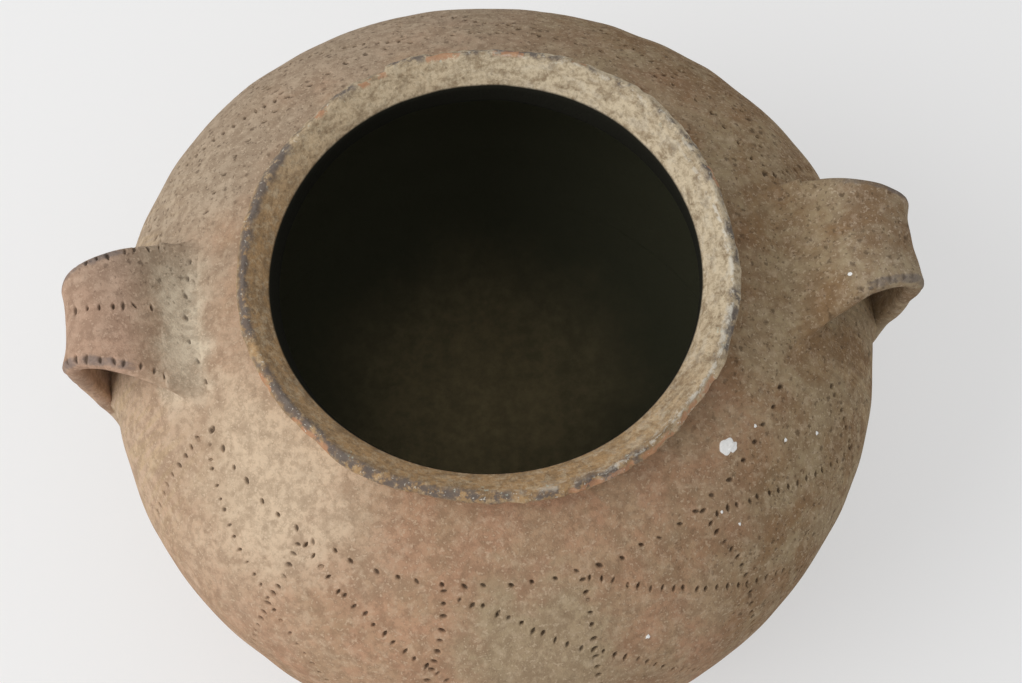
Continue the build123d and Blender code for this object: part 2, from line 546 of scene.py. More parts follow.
@dataclass(frozen=True)
class PunchWork:
    """The pricked pattern on the wall: a row round the shoulder between the handles, from which upright and
    slanting rows hang; the back repeats the front."""

    shape: PotShape
    seed: int = 31
    reach: float = 4.2
    margin: float = 4.0
    block: int = 2500
    line_points: int = 400
    heading_reach: float = 3.0
    pitch_play: float = 0.09
    axis_play: float = 9.0
    turn_play: float = 0.22
    size_play: Triple = (0.12, 0.12, 0.2)
    size_range: Pair = (0.6, 1.3)
    root_depth: float = 2.2

    def row_holes(self, row: PunchRow, draw: np.random.Generator) -> Array:
        """Pricks one row: its line is drawn finely, measured, and pricked at its pitch with some play.

        Args:
            row: the row.
            draw: source of the play in place and size.

        Returns:
            Azimuth, turn, long axis, half length, half width and depth, with a column for every hole.
        """
        knots = np.array(row.places, float)
        line = between(np.linspace(0.0, len(knots) - 1.0, self.line_points), np.arange(len(knots)), knots)
        run = lengths(self.shape.place(*line.T))
        count = max(2, int(round(run[-1] / row.pitch)) + 1)
        at = np.linspace(0.0, run[-1], count) + draw.normal(0.0, self.pitch_play * row.pitch, count)
        azimuth, turn = between(at, run, line).T
        reach = self.heading_reach
        wide, rise = (between(at + reach, run, line) - between(at - reach, run, line)).T
        flat = np.radians(wide) * self.shape.section(turn)[0]
        heading = np.degrees(np.arctan2(rise * self.shape.stretch(turn), flat))
        axis = heading + row.lie.value + draw.normal(0.0, self.axis_play, count)
        size = np.clip(draw.normal(1.0, self.size_play, (count, 3)).T, *self.size_range)
        turn = turn + draw.normal(0.0, self.turn_play, count)
        half_length, half_width = row.length / 2 * size[0], row.width / 2 * size[1]
        return np.stack([azimuth, turn, axis, half_length, half_width, row.depth * size[2]])

    @functools.cached_property
    def holes(self) -> Array:
        """Pricks the front, the back and the left strap's root.

        Returns:
            Every hole of the wall, in columns.
        """
        draw = np.random.default_rng(self.seed)
        rows = [*FRONT_ROWS, *(row.shifted(BACK_TURN) for row in FRONT_ROWS)]
        pattern = [self.row_holes(row, draw) for row in rows]
        return np.concatenate([*pattern, root_holes(self.root_depth)], axis=1)

    def press(self, azimuth: Array, turn: Array) -> tuple[Array, Array]:
        """Sinks the pattern in the wall, block by block round the pot, each with the holes close to it.

        Args:
            azimuth: azimuth of each point.
            turn: turn of each point.

        Returns:
            Height over the plain wall, and the depth share of each point in a hole.
        """
        low, high = turn.min() - self.margin, turn.max() + self.margin
        holes = self.holes[:, (self.holes[1] > low) & (self.holes[1] < high)]
        height, pit = np.zeros(len(azimuth)), np.zeros(len(azimuth))
        order = np.argsort(azimuth)
        for block in np.array_split(order, max(1, len(order) // self.block)):
            middle = np.median(azimuth[block])
            wide = np.abs(apart(azimuth[block], middle)).max() + self.margin
            some = Prick(*holes[:, np.abs(apart(holes[0], middle)) < wide])
            height[block], pit[block] = some.press_wall(self.shape, azimuth[block], turn[block])
        return height, pit

    def close_to(self, azimuth: Array, turn: Array) -> Array:
        """Tells which quads of a grid lie close to a hole.

        Args:
            azimuth: middles of the columns.
            turn: middles of the rows.

        Returns:
            Rows × columns, true close to a hole.
        """
        at_azimuth, at_turn = self.holes[:2]
        above = np.abs(turn[:, None] - at_turn) * self.shape.stretch(at_turn) < self.reach
        radius = self.shape.section(at_turn)[0]
        beside = np.abs(np.radians(apart(azimuth[:, None], at_azimuth))) * radius < self.reach
        return (above.astype(np.float32) @ beside.T.astype(np.float32)) > 0.0


@dataclass(frozen=True)
class Splash:
    """Drop of lime dried on the wall: place, half sizes, and how ragged its outline is."""

    azimuth: float
    turn: float
    half_width: float
    half_height: float
    ragged: float = 0.1
    rise: float = 0.45
    soft: float = 0.35
    finer: float = 0.7
    near: float = 1.8

    def heap(self, shape: PotShape, azimuth: Array, turn: Array) -> Array:
        """Height share of the drop: one inside an oval that swings with 3 and 5 waves, soft at its edge.

        Args:
            shape: profile of the pot.
            azimuth: azimuth of each point.
            turn: turn of each point.

        Returns:
            Share at each point, 0 to 1.
        """
        at = np.array(self.turn)
        u = np.radians(apart(azimuth, self.azimuth)) * shape.section(at)[0] / self.half_width
        v = (turn - self.turn) * shape.stretch(at) / self.half_height
        angle = np.arctan2(v, u)
        waves = np.cos(3.0 * angle + self.turn) + self.finer * np.cos(5.0 * angle + 2.0 * self.azimuth)
        return smooth((1.0 + self.ragged * waves - np.hypot(u, v)) / self.soft)

    def grown(self) -> "Splash":
        """Plain oval that holds the drop and the wall close to it."""
        wide, tall = self.half_width + self.near, self.half_height + self.near
        return replace(self, half_width=wide, half_height=tall, ragged=0.0)


SPLASHES = (
    Splash(-41.7, 44.4, 4.0, 3.1, 0.07),
    Splash(-40.9, 43.3, 2.5, 1.8, 0.08),
    Splash(-34.6, 41.9, 0.8, 0.7),
    Splash(-32.9, 34.7, 0.9, 0.8),
    Splash(-28.1, 28.0, 0.8, 0.8),
    Splash(-51.0, 36.6, 0.7, 0.6),
    Splash(-49.7, 31.9, 0.6, 0.6),
    Splash(-71.8, 21.3, 1.0, 1.0, 0.15),
)


@dataclass
class WallRing(Piece):
    """Ring of clay between two scarf joints: its section is a closed loop in turn and inset."""

    shape: PotShape
    hands: HandWork
    punches: PunchWork
    name: str
    low: float
    high: float
    columns: int = 600
    cell: float = 1.6
    parts: int = 4
    joint_rows: int = 4
    fewest_rows: int = 6
    samples: int = 50
    finger_rise: float = 0.45
    finger_pitch: float = 11.0
    finger_swing: float = 1.5
    finger_swings: float = 3.0

    def loop(self) -> Array:
        """Section as rows: up outside, in along a joint, down inside, and out along the other joint.

        Returns:
            Turn, inset and edge line of every row.
        """
        scarf, wall = self.shape.scarf, self.shape.wall
        stretch = self.shape.stretch(np.linspace(self.low, self.high, self.samples)).mean()
        rows = int(np.ceil(stretch * (self.high - self.low) / self.cell))
        across = np.arange(self.joint_rows) / self.joint_rows
        outside = np.linspace(self.low, self.high, rows, endpoint=False)
        inside = np.linspace(self.high, self.low, max(self.fewest_rows, rows // 2), endpoint=False) + scarf
        sides = [
            table(outside, 0.0, 0.0),
            table(self.high + scarf * across, wall * across, 0.0),
            table(inside, wall, 0.0),
            table(self.low + scarf * (1.0 - across), wall * (1.0 - across), 0.0),
        ]
        for number, side in enumerate(sides, start=1):
            side[0, 2] = number
        return np.concatenate(sides)

    def skin(self) -> Skin:
        """Builds the ring: section loop turned round the axis, uneven, with holes pricked in its outside.

        Returns:
            The ring's surface; inside it carries finger rings, cosine waves in the turn.
        """
        rows = self.loop()
        middle = (np.arange(self.columns) + 0.5) * FULL_TURN / self.columns
        turns, insets, _ = ((rows + np.roll(rows, -1, axis=0)) / 2.0).T
        flags = self.punches.close_to(middle, turns)
        for splash in SPLASHES:
            flags |= splash.grown().heap(self.shape, middle[None, :], turns[:, None]) > 0.0
        p, q, faces = fine_net(flags & (insets == 0.0)[:, None], self.parts, closed=True)
        wrapped = np.concatenate([rows, rows[:1]])
        turn, inset, _ = between(p, np.arange(len(wrapped)), wrapped).T
        azimuth = q * FULL_TURN / self.columns
        outer = inset == 0.0
        depth = inset / self.shape.wall
        height, pit, lime = np.zeros((3, len(p)))
        height[outer], pit[outer] = self.punches.press(azimuth[outer], turn[outer])
        for splash in SPLASHES:
            heap = splash.heap(self.shape, azimuth[outer], turn[outer])
            lime[outer] = np.maximum(lime[outer], heap)
            height[outer] += splash.rise * heap
        swung = turn + self.finger_swing * np.sin(np.radians(self.finger_swings * azimuth))
        height += depth * self.finger_rise * np.cos(2.0 * np.pi * swung / self.finger_pitch)
        normal = self.shape.normal(azimuth, turn)
        points = self.hands.moved(self.shape.place(azimuth, turn, inset), normal) + height[:, None] * normal
        line = np.where(p == np.round(p), wrapped[np.round(p).astype(int), 2], 0.0)
        return Skin(points, faces, {"punch": pit, "lime": lime, "inside": depth}, line)


@dataclass
class MouldedBase(Piece):
    """Floor and lower curve, one sheet: out along the foot, up the outside, and back down the inside."""

    shape: PotShape
    hands: HandWork
    name: str = "moulded_base"
    columns: int = 600
    cell: float = 2.2
    hub: float = 3.0
    low: float = -90.0
    outer_rows: int = 30
    inner_rows: int = 34
    joint_rows: int = 4

    def path(self) -> Array:
        """Section as rows, from the hub under the foot to the hub on the floor.

        Returns:
            Radius, height, turn of the wall, inset share and edge line of every row.
        """
        shape, low = self.shape, self.low
        across = np.arange(1, self.joint_rows) / self.joint_rows
        up = np.linspace(low, shape.base_edge, self.outer_rows)
        over = shape.base_edge + shape.scarf * across
        down = np.linspace(shape.base_edge + shape.scarf, low, self.inner_rows)
        count = int((shape.foot_radius - self.hub) / self.cell)
        radius = np.linspace(self.hub, shape.foot_radius, count, endpoint=False)
        outer = table(*shape.section(up), up, 0.0, 0.0)
        joint = table(*shape.section(over, shape.wall * across), over, across, 0.0)
        inner = table(*shape.section(down, shape.wall), down, 1.0, 0.0)
        outer[-1, -1], inner[0, -1] = 1.0, 2.0
        under, floor = table(radius, 0.0, low, 0.0, 0.0), table(radius[::-1], shape.floor, low, 1.0, 0.0)
        return np.concatenate([under, outer, joint, inner, floor])

    def skin(self) -> Skin:
        """Builds the base: its section turned round the axis, with a level cap at each hub.

        Returns:
            The base's surface.
        """
        rows = self.path()
        p, q, faces = fine_net(np.zeros((len(rows) - 1, self.columns), bool), 1, closed=False)
        radius, height, turn, depth, line = rows[np.round(p).astype(int)].T
        azimuth = q * FULL_TURN / self.columns
        points = self.hands.moved(around(radius, height, azimuth), self.shape.normal(azimuth, turn))
        zero = np.zeros(len(p))
        return Skin(points, faces, {"punch": zero, "lime": zero, "inside": depth}, line)


@dataclass(frozen=True)
class Push:
    """Place where a hand pushed the rim out of round: azimuth, reach in degrees, and how far out it moved."""

    azimuth: float
    reach: float
    mouth: float = 0.0
    lip: float = 0.0

    def bell(self, azimuth: Array) -> Array:
        """Share of the push at an azimuth."""
        return bump(apart(azimuth, self.azimuth), 0.0, self.reach)


PUSHES = (
    Push(-170.0, 38.0, mouth=2.7),
    Push(55.0, 28.0, mouth=1.1),
    Push(-95.0, 30.0, mouth=-0.8),
    Push(46.0, 24.0, lip=2.3),
    Push(-106.0, 22.0, lip=-2.3),
    Push(-172.0, 18.0, lip=1.1),
    Push(100.0, 18.0, lip=1.0),
)


@dataclass(frozen=True)
class Chip:
    """Flake broken off the lip: middle azimuth, half length in degrees, depth, how far in it goes, and where
    its fresh clay shows, in millimetres from the lip's edge towards the mouth."""

    azimuth: float
    half_length: float
    depth: float
    inward: float
    shows: float
    shown: float = 2.0
    soft: float = 0.25
    frayed: float = 0.35
    frayed_in: float = 1.2
    slant: float = 0.55
    clear: float = 0.35
    steepest: float = 2.2
    low: float = 185.5
    fade: float = 2.0
    taken_in: float = 0.75
    taken_down: float = 0.35

    def share(self, azimuth: Array, ragged: Array) -> Array:
        """One along the flake, falling softly at its frayed ends."""
        away = np.abs(apart(azimuth, self.azimuth)) / self.half_length
        return smooth((1.0 + self.frayed * ragged - away) / self.soft)

    def cut(self, out: Array, over: Array, height: Array, ragged: Array) -> Array:
        """Thickness broken off: what stands out past a slanted flat, down to a lowest height.

        Args:
            out: how far a point stands out from the lip's edge.
            over: how far it stands over the pot's top.
            height: its height.
            ragged: unevenness of the flat.

        Returns:
            Thickness at each point.
        """
        past = out + over * self.slant + self.inward + self.frayed_in * ragged - self.clear
        return np.clip(past, 0.0, self.depth * self.steepest) * smooth((height - self.low) / self.fade)


CHIPS = (
    Chip(-70.0, 9.0, 0.7, 3.0, 0.2),
    Chip(-55.0, 6.5, 0.8, 3.2, 0.4),
    Chip(-41.0, 8.0, 0.7, 3.0, 0.6),
    Chip(79.0, 4.0, 0.7, 3.0, 4.0),
    Chip(95.0, 4.5, 0.9, 3.4, 4.8),
    Chip(113.0, 4.5, 0.9, 3.4, 4.6),
    Chip(128.0, 2.5, 0.7, 3.0, 3.8),
    Chip(-141.0, 6.5, 0.6, 2.8, 0.4),
    Chip(-158.0, 3.0, 0.6, 2.6, 0.2),
    Chip(18.0, 4.0, 0.7, 2.6, 0.6),
    Chip(62.0, 2.2, 0.9, 3.4, 1.6),
)


@dataclass
class Rim(Piece):
    """Last ring of clay, drawn up into the neck and turned out into the lip."""

    shape: PotShape
    hands: HandWork
    name: str = "rim_coil"
    lip_overhang: float = 7.0
    lip_thickness: float = 6.0
    lip_bulge: float = 1.2
    lip_top_inset: float = 2.0
    lip_slope_drop: float = 5.0
    throat_round: float = 3.0
    neck_hollow: float = 1.0
    columns: int = 900
    cell: float = 0.75
    joint_rows: int = 4
    outer_corners: int = 12
    inner_corners: int = 6
    fine_points: int = 1200
    soften: float = 2.0
    raised_over: float = 11.0
    mouth_inset: float = 1.0
    edge_drop: float = 2.5
    edge_reach: float = 4.2
    edge_lift: float = 0.7
    edge_play: Waves = Waves(21, 26, 18.0, 55.0, 0.45)
    edge_nicks: Waves = Waves(24, 40, 3.6, 11.0, 0.15)
    slope_play: Waves = Waves(22, 60, 7.0, 26.0, 0.08)
    ragged: Waves = Waves(23, 30, 3.0, 12.0, 0.3)
    chip_rows: int = 6
    calmer: float = 0.5
    soot_drop: float = 1.5
    soot_fade: float = 1.6

    slot = "clay_rim"

    @property
    def lip(self) -> float:
        """Radius of the lip's under edge."""
        return self.shape.neck_radius + self.lip_overhang

    @property
    def mouth(self) -> float:
        """Radius of the mouth."""
        return self.shape.neck_radius - self.shape.neck_wall

    def section(self) -> Array:
        """Radius and height of rows from the outer to the inner end of the seam, evenly spaced and softened.

        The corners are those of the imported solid: shoulder, hollow neck, lip's under edge, bulge and top,
        slope to the throat, and the inner wall. A moving average rounds them as a wet hand does.

        Returns:
            Two columns, a row for every place on the section.
        """
        shape, lip, mouth, top = self.shape, self.lip, self.mouth, self.shape.height
        out = table(*shape.section(np.linspace(shape.rim_turn, shape.neck_turn, self.outer_corners)))
        inner_turn = np.degrees(np.arccos(mouth / (shape.belly_radius - shape.wall)))
        inner = np.linspace(inner_turn, shape.neck_turn, self.inner_corners)
        inside = table(*shape.section(inner, shape.wall))
        under = np.array([lip, top - self.lip_thickness])
        hollow = (np.array([shape.neck_radius, shape.neck_height]) + under) / 2.0
        edge = [
            hollow + np.array([-self.neck_hollow, self.neck_hollow]),
            under,
            [lip + self.lip_bulge, top - self.lip_thickness / 2.0],
            [lip - self.lip_top_inset, top],
            [mouth + self.throat_round, top - self.lip_slope_drop],
            [mouth, top - self.lip_slope_drop - self.throat_round],
        ]
        corners = np.concatenate([out, edge, inside])
        run = lengths(corners)
        fine = np.linspace(0.0, run[-1], self.fine_points)
        line = between(fine, run, corners)
        half = int(self.soften / (fine[1] - fine[0]))
        weight = np.hanning(2 * half + 3)[1:-1]
        before, after = 2.0 * line[0] - line[half:0:-1], 2.0 * line[-1] - line[-2:-half - 2:-1]
        padded = np.concatenate([before, line, after])
        soft = [np.convolve(column, weight / weight.sum(), mode="valid") for column in padded.T]
        return between(np.linspace(0.0, run[-1], int(run[-1] / self.cell)), fine, table(*soft))

    def skin(self) -> Skin:
        """Builds the rim: its section turned round the axis, pushed out of round, worn and chipped.

        Returns:
            The rim's surface; way is millimetres from the lip's outermost row towards the mouth.
        """
        shape, lip, mouth = self.shape, self.lip, self.mouth
        rows = self.section()
        across = np.arange(1, self.joint_rows) / self.joint_rows
        joint = table(*shape.section(shape.neck_turn - shape.scarf * across, shape.wall * (1.0 - across)))
        ring = np.concatenate([rows, joint])
        p, q, faces = fine_net(np.zeros((len(ring), self.columns), bool), 1, closed=True)
        number = np.round(p).astype(int)
        in_joint, joint_share = number >= len(rows), (number - len(rows) + 1) / self.joint_rows
        azimuth = q * FULL_TURN / self.columns
        plain_radius, plain_height = ring[number].T
        top = int(np.argmax(rows[:, 1]))
        inner_side = (number > top) & ~in_joint
        raised = smooth((plain_height - rows[0, 1]) / self.raised_over)
        inner_mouth = mouth + self.mouth_inset
        on_lip = np.where(inner_side, smooth((plain_radius - inner_mouth) / (lip - inner_mouth)), 1.0)
        push_mouth = sum(push.mouth * push.bell(azimuth) for push in PUSHES)
        push_lip = sum(push.lip * push.bell(azimuth) for push in PUSHES)
        edge = np.hypot(plain_radius - lip, plain_height - shape.height + self.edge_drop)
        edge = bump(edge, 0.0, self.edge_reach)
        line = around(lip, np.zeros(len(p)), azimuth)
        radius = plain_radius + raised * (push_mouth * (1.0 - on_lip) + push_lip * on_lip)
        radius = radius + edge * (self.edge_play.at(line) + self.edge_nicks.at(line))
        lifted = self.edge_lift * self.edge_play.at(line[:, [1, 2, 0]]) + self.edge_nicks.at(-line)
        height = plain_height + edge * lifted
        base = around(radius, height, azimuth)
        height = height + self.slope_play.at(base) * raised
        flared = np.where(rows[:, 1] > shape.height - self.lip_thickness, rows[:, 0], 0.0)
        run = lengths(ring)
        way = (run - run[np.argmax(flared)])[number]
        chip, ragged = np.zeros(len(p)), self.ragged.at(base)
        for flake in CHIPS:
            share = flake.share(azimuth, ragged)
            out, over = radius - lip - push_lip - self.lip_bulge, height - shape.height
            cut = flake.cut(out, over, height, ragged) * share * (number <= top + self.chip_rows)
            radius, height = radius - flake.taken_in * cut, height - flake.taken_down * cut
            chip = np.maximum(chip, share * bump(way, flake.shows, flake.shown))
        tall = np.where(inner_side, shape.rise - shape.wall, shape.rise)
        climb = (plain_height - shape.belly_height) / tall
        turn = np.clip(np.degrees(np.arcsin(np.clip(climb, 0.0, 1.0))), shape.rim_turn, shape.neck_turn)
        turn = np.where(in_joint, shape.neck_turn - shape.scarf * joint_share, turn)
        base, normal = around(radius, height, azimuth), shape.normal(azimuth, turn)
        points = self.hands.moved(base, normal, 1.0 - self.calmer * raised)
        # Inner faces below the throat take the dark inside: soot and painted shade.
        throat = shape.height - self.lip_slope_drop - self.soot_drop
        inside = smooth((throat - plain_height) / self.soot_fade) * inner_side
        inside = np.where(in_joint, 1.0 - joint_share, inside)
        lines = np.where(number == 0, 1.0, np.where(number == len(rows) - 1, 2.0, 0.0))
        return Skin(points, faces, {"way": way, "chip": chip, "inside": inside}, lines)


class Named(Enum):
    """Choice that is part of the names of pieces."""

    @property
    def word(self) -> str:
        """Word for the choice in the names of pieces."""
        return self.name.lower()


class Side(Named):
    """Handle, by the azimuth at which it was set."""

    RIGHT = 2.5
    LEFT = 177.5

    @property
    def far(self) -> float:
        """Edge of the strap at the back of the pot: +1 for the one further round, −1 for the other."""
        return 1.0 if self is Side.RIGHT else -1.0


@dataclass(frozen=True)
class StrapLine:
    """Outer face of a strap in side view: corners as radius and height, with a curve at each bend."""

    corners: tuple[Pair, ...] = ((108, 163), (140, 181.5), (164, 175.5), (162, 132), (148, 88))
    reaches: Triple = (11.35, 12.3, 5.3)
    thickness: float = 7.0
    edge_round: float = 3.0
    root_half_width: float = 34.0
    waist: Pair = (138.0, 25.0)
    knuckle_half_width: float = 20.5
    heel_half_width: float = 14.5
    foot_half_width: float = 16.0
    bend_points: int = 60

    def line(self, cell: float) -> Array:
        """Draws the line. A bend is (1−t)²·a + 2t(1−t)·corner + t²·b between its two legs.

        Args:
            cell: distance between points.

        Returns:
            Radius and height of points, evenly spaced.
        """
        corners = np.array(self.corners, float)
        t = np.linspace(0.0, 1.0, self.bend_points)[:, None]
        parts = [corners[:1]]
        for before, corner, after, reach in zip(corners, corners[1:], corners[2:], self.reaches):
            a, b = (corner + reach * (to - corner) / np.linalg.norm(to - corner) for to in (before, after))
            parts.append((1 - t) ** 2 * a + 2 * t * (1 - t) * corner + t * t * b)
        rough = np.concatenate([*parts, corners[-1:]])
        run = lengths(rough)
        return between(np.linspace(0.0, run[-1], int(run[-1] / cell)), run, rough)

    def half_width(self, line: Array) -> Array:
        """Half width: a parabola in the radius over the top, and one in the height down the limb.

        Args:
            line: radius and height of points.

        Returns:
            Half width at each point.
        """
        radius, height = line.T
        root, crest, knuckle, heel, foot = self.corners
        bend = knuckle[1] - self.reaches[1]
        over = [self.root_half_width, self.waist[1], self.knuckle_half_width]
        limb = [self.knuckle_half_width, self.heel_half_width, self.foot_half_width]
        over = np.polyval(np.polyfit([root[0], self.waist[0], knuckle[0]], over, 2), radius)
        limb = np.polyval(np.polyfit([bend, heel[1], foot[1]], limb, 2), height)
        return np.where((height < bend) & (radius > crest[0]), limb, over)


@dataclass(frozen=True)
class StrapRows:
    """Holes pricked along a strap: first and last place and number, shares of the half width, and depth."""

    first: float
    last: float
    count: int
    shares: tuple[float, ...]
    depth: float


STRAP_ROWS = {
    Side.LEFT: StrapRows(13.0, 70.0, 12, (0.98, 0.04, -0.95), 1.25),
    Side.RIGHT: StrapRows(34.0, 66.0, 7, (-0.95,), 0.6),
}


@dataclass
class Strap(Piece):
    """Strap handle: a flat strip with a dished face, bent from the shoulder over to the belly."""

    shape: PotShape
    hands: HandWork
    side: Side
    line: StrapLine = StrapLine()
    cell: float = 1.1
    face_columns: int = 40
    edge_columns: int = 10
    parts: int = 3
    root_cut: float = 6.0
    free_from: float = 20.0
    free_over: float = 18.0
    knuckle_way: float = 66.0
    far_tuck: float = 4.5
    tuck_reach: float = 13.0
    dish: float = 1.3
    dish_power: float = 2.2
    dish_level: float = 0.8
    face_slope: float = 0.3
    seat: float = 0.8
    seatings: int = 3
    play_shift: float = 50.0
    edge_shift: float = 40.0
    edge_power: int = 3
    face_play: Waves = Waves(43, 30, 10.0, 45.0, 0.2)
    edge_play: Waves = Waves(44, 20, 18.0, 60.0, 0.4)
    mark_reach: float = 2.6
    hole_seed: int = 41
    hole_half_length: float = 1.85
    hole_half_width: float = 0.9
    hole_inset: float = 0.6
    along_play: float = 0.7
    across_play: float = 0.4
    size_play: float = 0.15
    size_range: Pair = (0.6, 1.3)
    axis_play: float = 12.0
    near_edge: float = -5.0
    near_size: float = 1.15
    grime_power: int = 8
    grime_slope: float = 0.15
    grime_fade: float = 30.0
    grime_lost: float = 0.6
    lime_spot: Pair = (30.1, -15.5)
    lime_radius: float = 1.1
    lime_soft: float = 0.5
    lime_squeeze: float = 1.25

    slot = "clay_strap"

    @property
    def name(self) -> str:
        """Name of the strap."""
        return f"{self.side.word}_handle_strap"

    def loop(self) -> Array:
        """Section columns, in the order face, edge, back, edge, and the first once more.

        Returns:
            Place across the flat part, −1 to 1, and angle round the edges.
        """
        face = np.linspace(1.0, -1.0, self.face_columns)
        edge = np.linspace(90.0, 270.0, self.edge_columns + 2)[1:-1]
        sides = [table(face, 90.0), table(-1.0, edge), table(-face, 270.0), table(1.0, edge + 180.0)]
        return np.concatenate([*sides, [[1.0, 90.0 + FULL_TURN]]])

    def rows(self) -> Array:
        """Rows along the strap, from where it leaves the clay of its root.

        Returns:
            Radius, height, the two parts of the direction ahead, half width and way of every row.
        """
        line = self.line.line(self.cell)
        ahead = np.gradient(line, axis=0)
        ahead /= np.linalg.norm(ahead, axis=1)[:, None]
        run = np.arange(len(line)) * np.linalg.norm(line[1] - line[0])
        return np.column_stack([line, ahead, self.line.half_width(line), run])[run >= self.root_cut]

    def holes(self, run: Array, half: Array) -> Prick:
        """Holes pricked along the strap's edges and middle; on the right strap only a worn row is left.

        Args:
            run: millimetres along the strap of each row.
            half: half width of each row.

        Returns:
            The holes, placed along the strap and across it from its middle.
        """
        draw = np.random.default_rng(self.hole_seed)
        kept, far = STRAP_ROWS[self.side], self.side.far
        even = np.linspace(kept.first, kept.last, kept.count)
        across = far * np.repeat(kept.shares, kept.count)
        count = len(across)
        along = np.tile(even, len(kept.shares)) + draw.normal(0.0, self.along_play, count)
        across = across * np.interp(along, run, half - self.line.edge_round * self.hole_inset)
        across = across + draw.normal(0.0, self.across_play, count)
        size = np.clip(draw.normal(1.0, self.size_play, (3, count)), *self.size_range)
        axis = 90.0 + draw.normal(0.0, self.axis_play, count)
        near = np.where(across * far < self.near_edge, self.near_size, 1.0)
        long, wide = self.hole_half_length * near * size[0], self.hole_half_width * near * size[1]
        return Prick(along, across, axis, long, wide, kept.depth * size[2])

    def net(self, rows: Array, loop: Array, prick: Prick) -> tuple[Array, Array, Faces]:
        """Net of the strap, finer on its face close to a hole or the drop of lime.

        Args:
            rows: rows along the strap.
            loop: section columns.
            prick: the strap's holes.

        Returns:
            Row and column places of the knots, and the faces.
        """
        half, run = ((rows[1:] + rows[:-1]) / 2.0)[:, 4:].T
        across, angle = loop[:-1].T
        place = across * (half - self.line.edge_round)[:, None]
        marks = np.append(prick.u, self.lime_spot[0]), np.append(prick.v, self.lime_spot[1])
        near = np.abs(run[:, None, None] - marks[0]) < self.mark_reach
        near = near & (np.abs(place[:, :, None] - marks[1]) < self.mark_reach)
        upward = unit(angle)[1] > self.face_slope
        return fine_net(near.any(axis=2) & upward & np.roll(upward, -1), self.parts, closed=False)

    def skin(self) -> Skin:
        """Builds the strap: a rounded section swept along the line, whose ends are seated on the wall.

        Returns:
            The strap's surface.
        """
        rows, loop, far = self.rows(), self.loop(), self.side.far
        prick = self.holes(rows[:, 5], rows[:, 4])
        p, q, faces = self.net(rows, loop, prick)
        radius, height, out, rising, wide, way = between(p, np.arange(len(rows)), rows).T
        u, angle = between(q, np.arange(len(loop)), loop).T
        cos, sin = unit(angle)
        on_face = sin > self.face_slope
        free = smooth((way - self.free_from) / self.free_over)
        tuck = self.far_tuck * bump(way, self.knuckle_way, self.tuck_reach) * smooth(u * far)
        lateral = u * (wide - tuck - self.line.edge_round) + self.line.edge_round * cos
        depth = self.line.thickness / 2.0 * (sin - 1.0)
        dished = self.dish * (np.abs(u) ** self.dish_power - self.dish_level) * np.clip(sin, 0.0, None)
        shift = self.play_shift * far
        uneven = self.face_play.at(table(way, lateral + shift, depth))
        widened = self.edge_play.at(table(way, self.edge_shift * np.sign(u) + shift))
        widened = widened * np.abs(u) ** self.edge_power * free
        pit, sunk = np.zeros((2, len(p)))
        ahead, aside = way[on_face, None] - prick.u, lateral[on_face, None] - prick.v
        sunk[on_face], pit[on_face] = prick.press(ahead, aside)
        depth = depth + (dished + uneven) * free + sunk
        lateral = lateral + widened * np.sign(u)
        local = table(radius - rising * depth, lateral, height + out * depth)
        for _ in range(self.seatings):
            above, normal = self.shape.over(local)
            local = local + np.clip(self.seat - above, 0.0, None)[:, None] * normal
        above, normal = self.shape.over(local)
        lift = above[:, None] * normal
        set_at = self.side.value
        seat = self.hands.moved(turned(local - lift, set_at), turned(normal, set_at))
        worn_off = self.grime_lost * smooth((way - self.knuckle_way) / self.grime_fade)
        edge = np.abs(u) ** self.grime_power * free * smooth(sin + self.grime_slope) * (1.0 - worn_off)
        spot = np.hypot(way - self.lime_spot[0], self.lime_squeeze * (lateral - self.lime_spot[1]))
        lime = smooth((self.lime_radius - spot) / self.lime_soft) * on_face * (self.side is Side.RIGHT)
        values = {"punch": pit, "edge": edge, "lime": lime, "inside": np.zeros(len(p)), "free": free}
        return Skin(seat + turned(lift, set_at), faces, values)


class End(Named):
    """End of a strap, by its bed's lowest and highest turn, half spread in azimuth, and blending height."""

    UPPER = (22.0, 47.0, 25.0, 11.0)
    LOWER = (-30.0, 16.0, 14.0, 6.0)


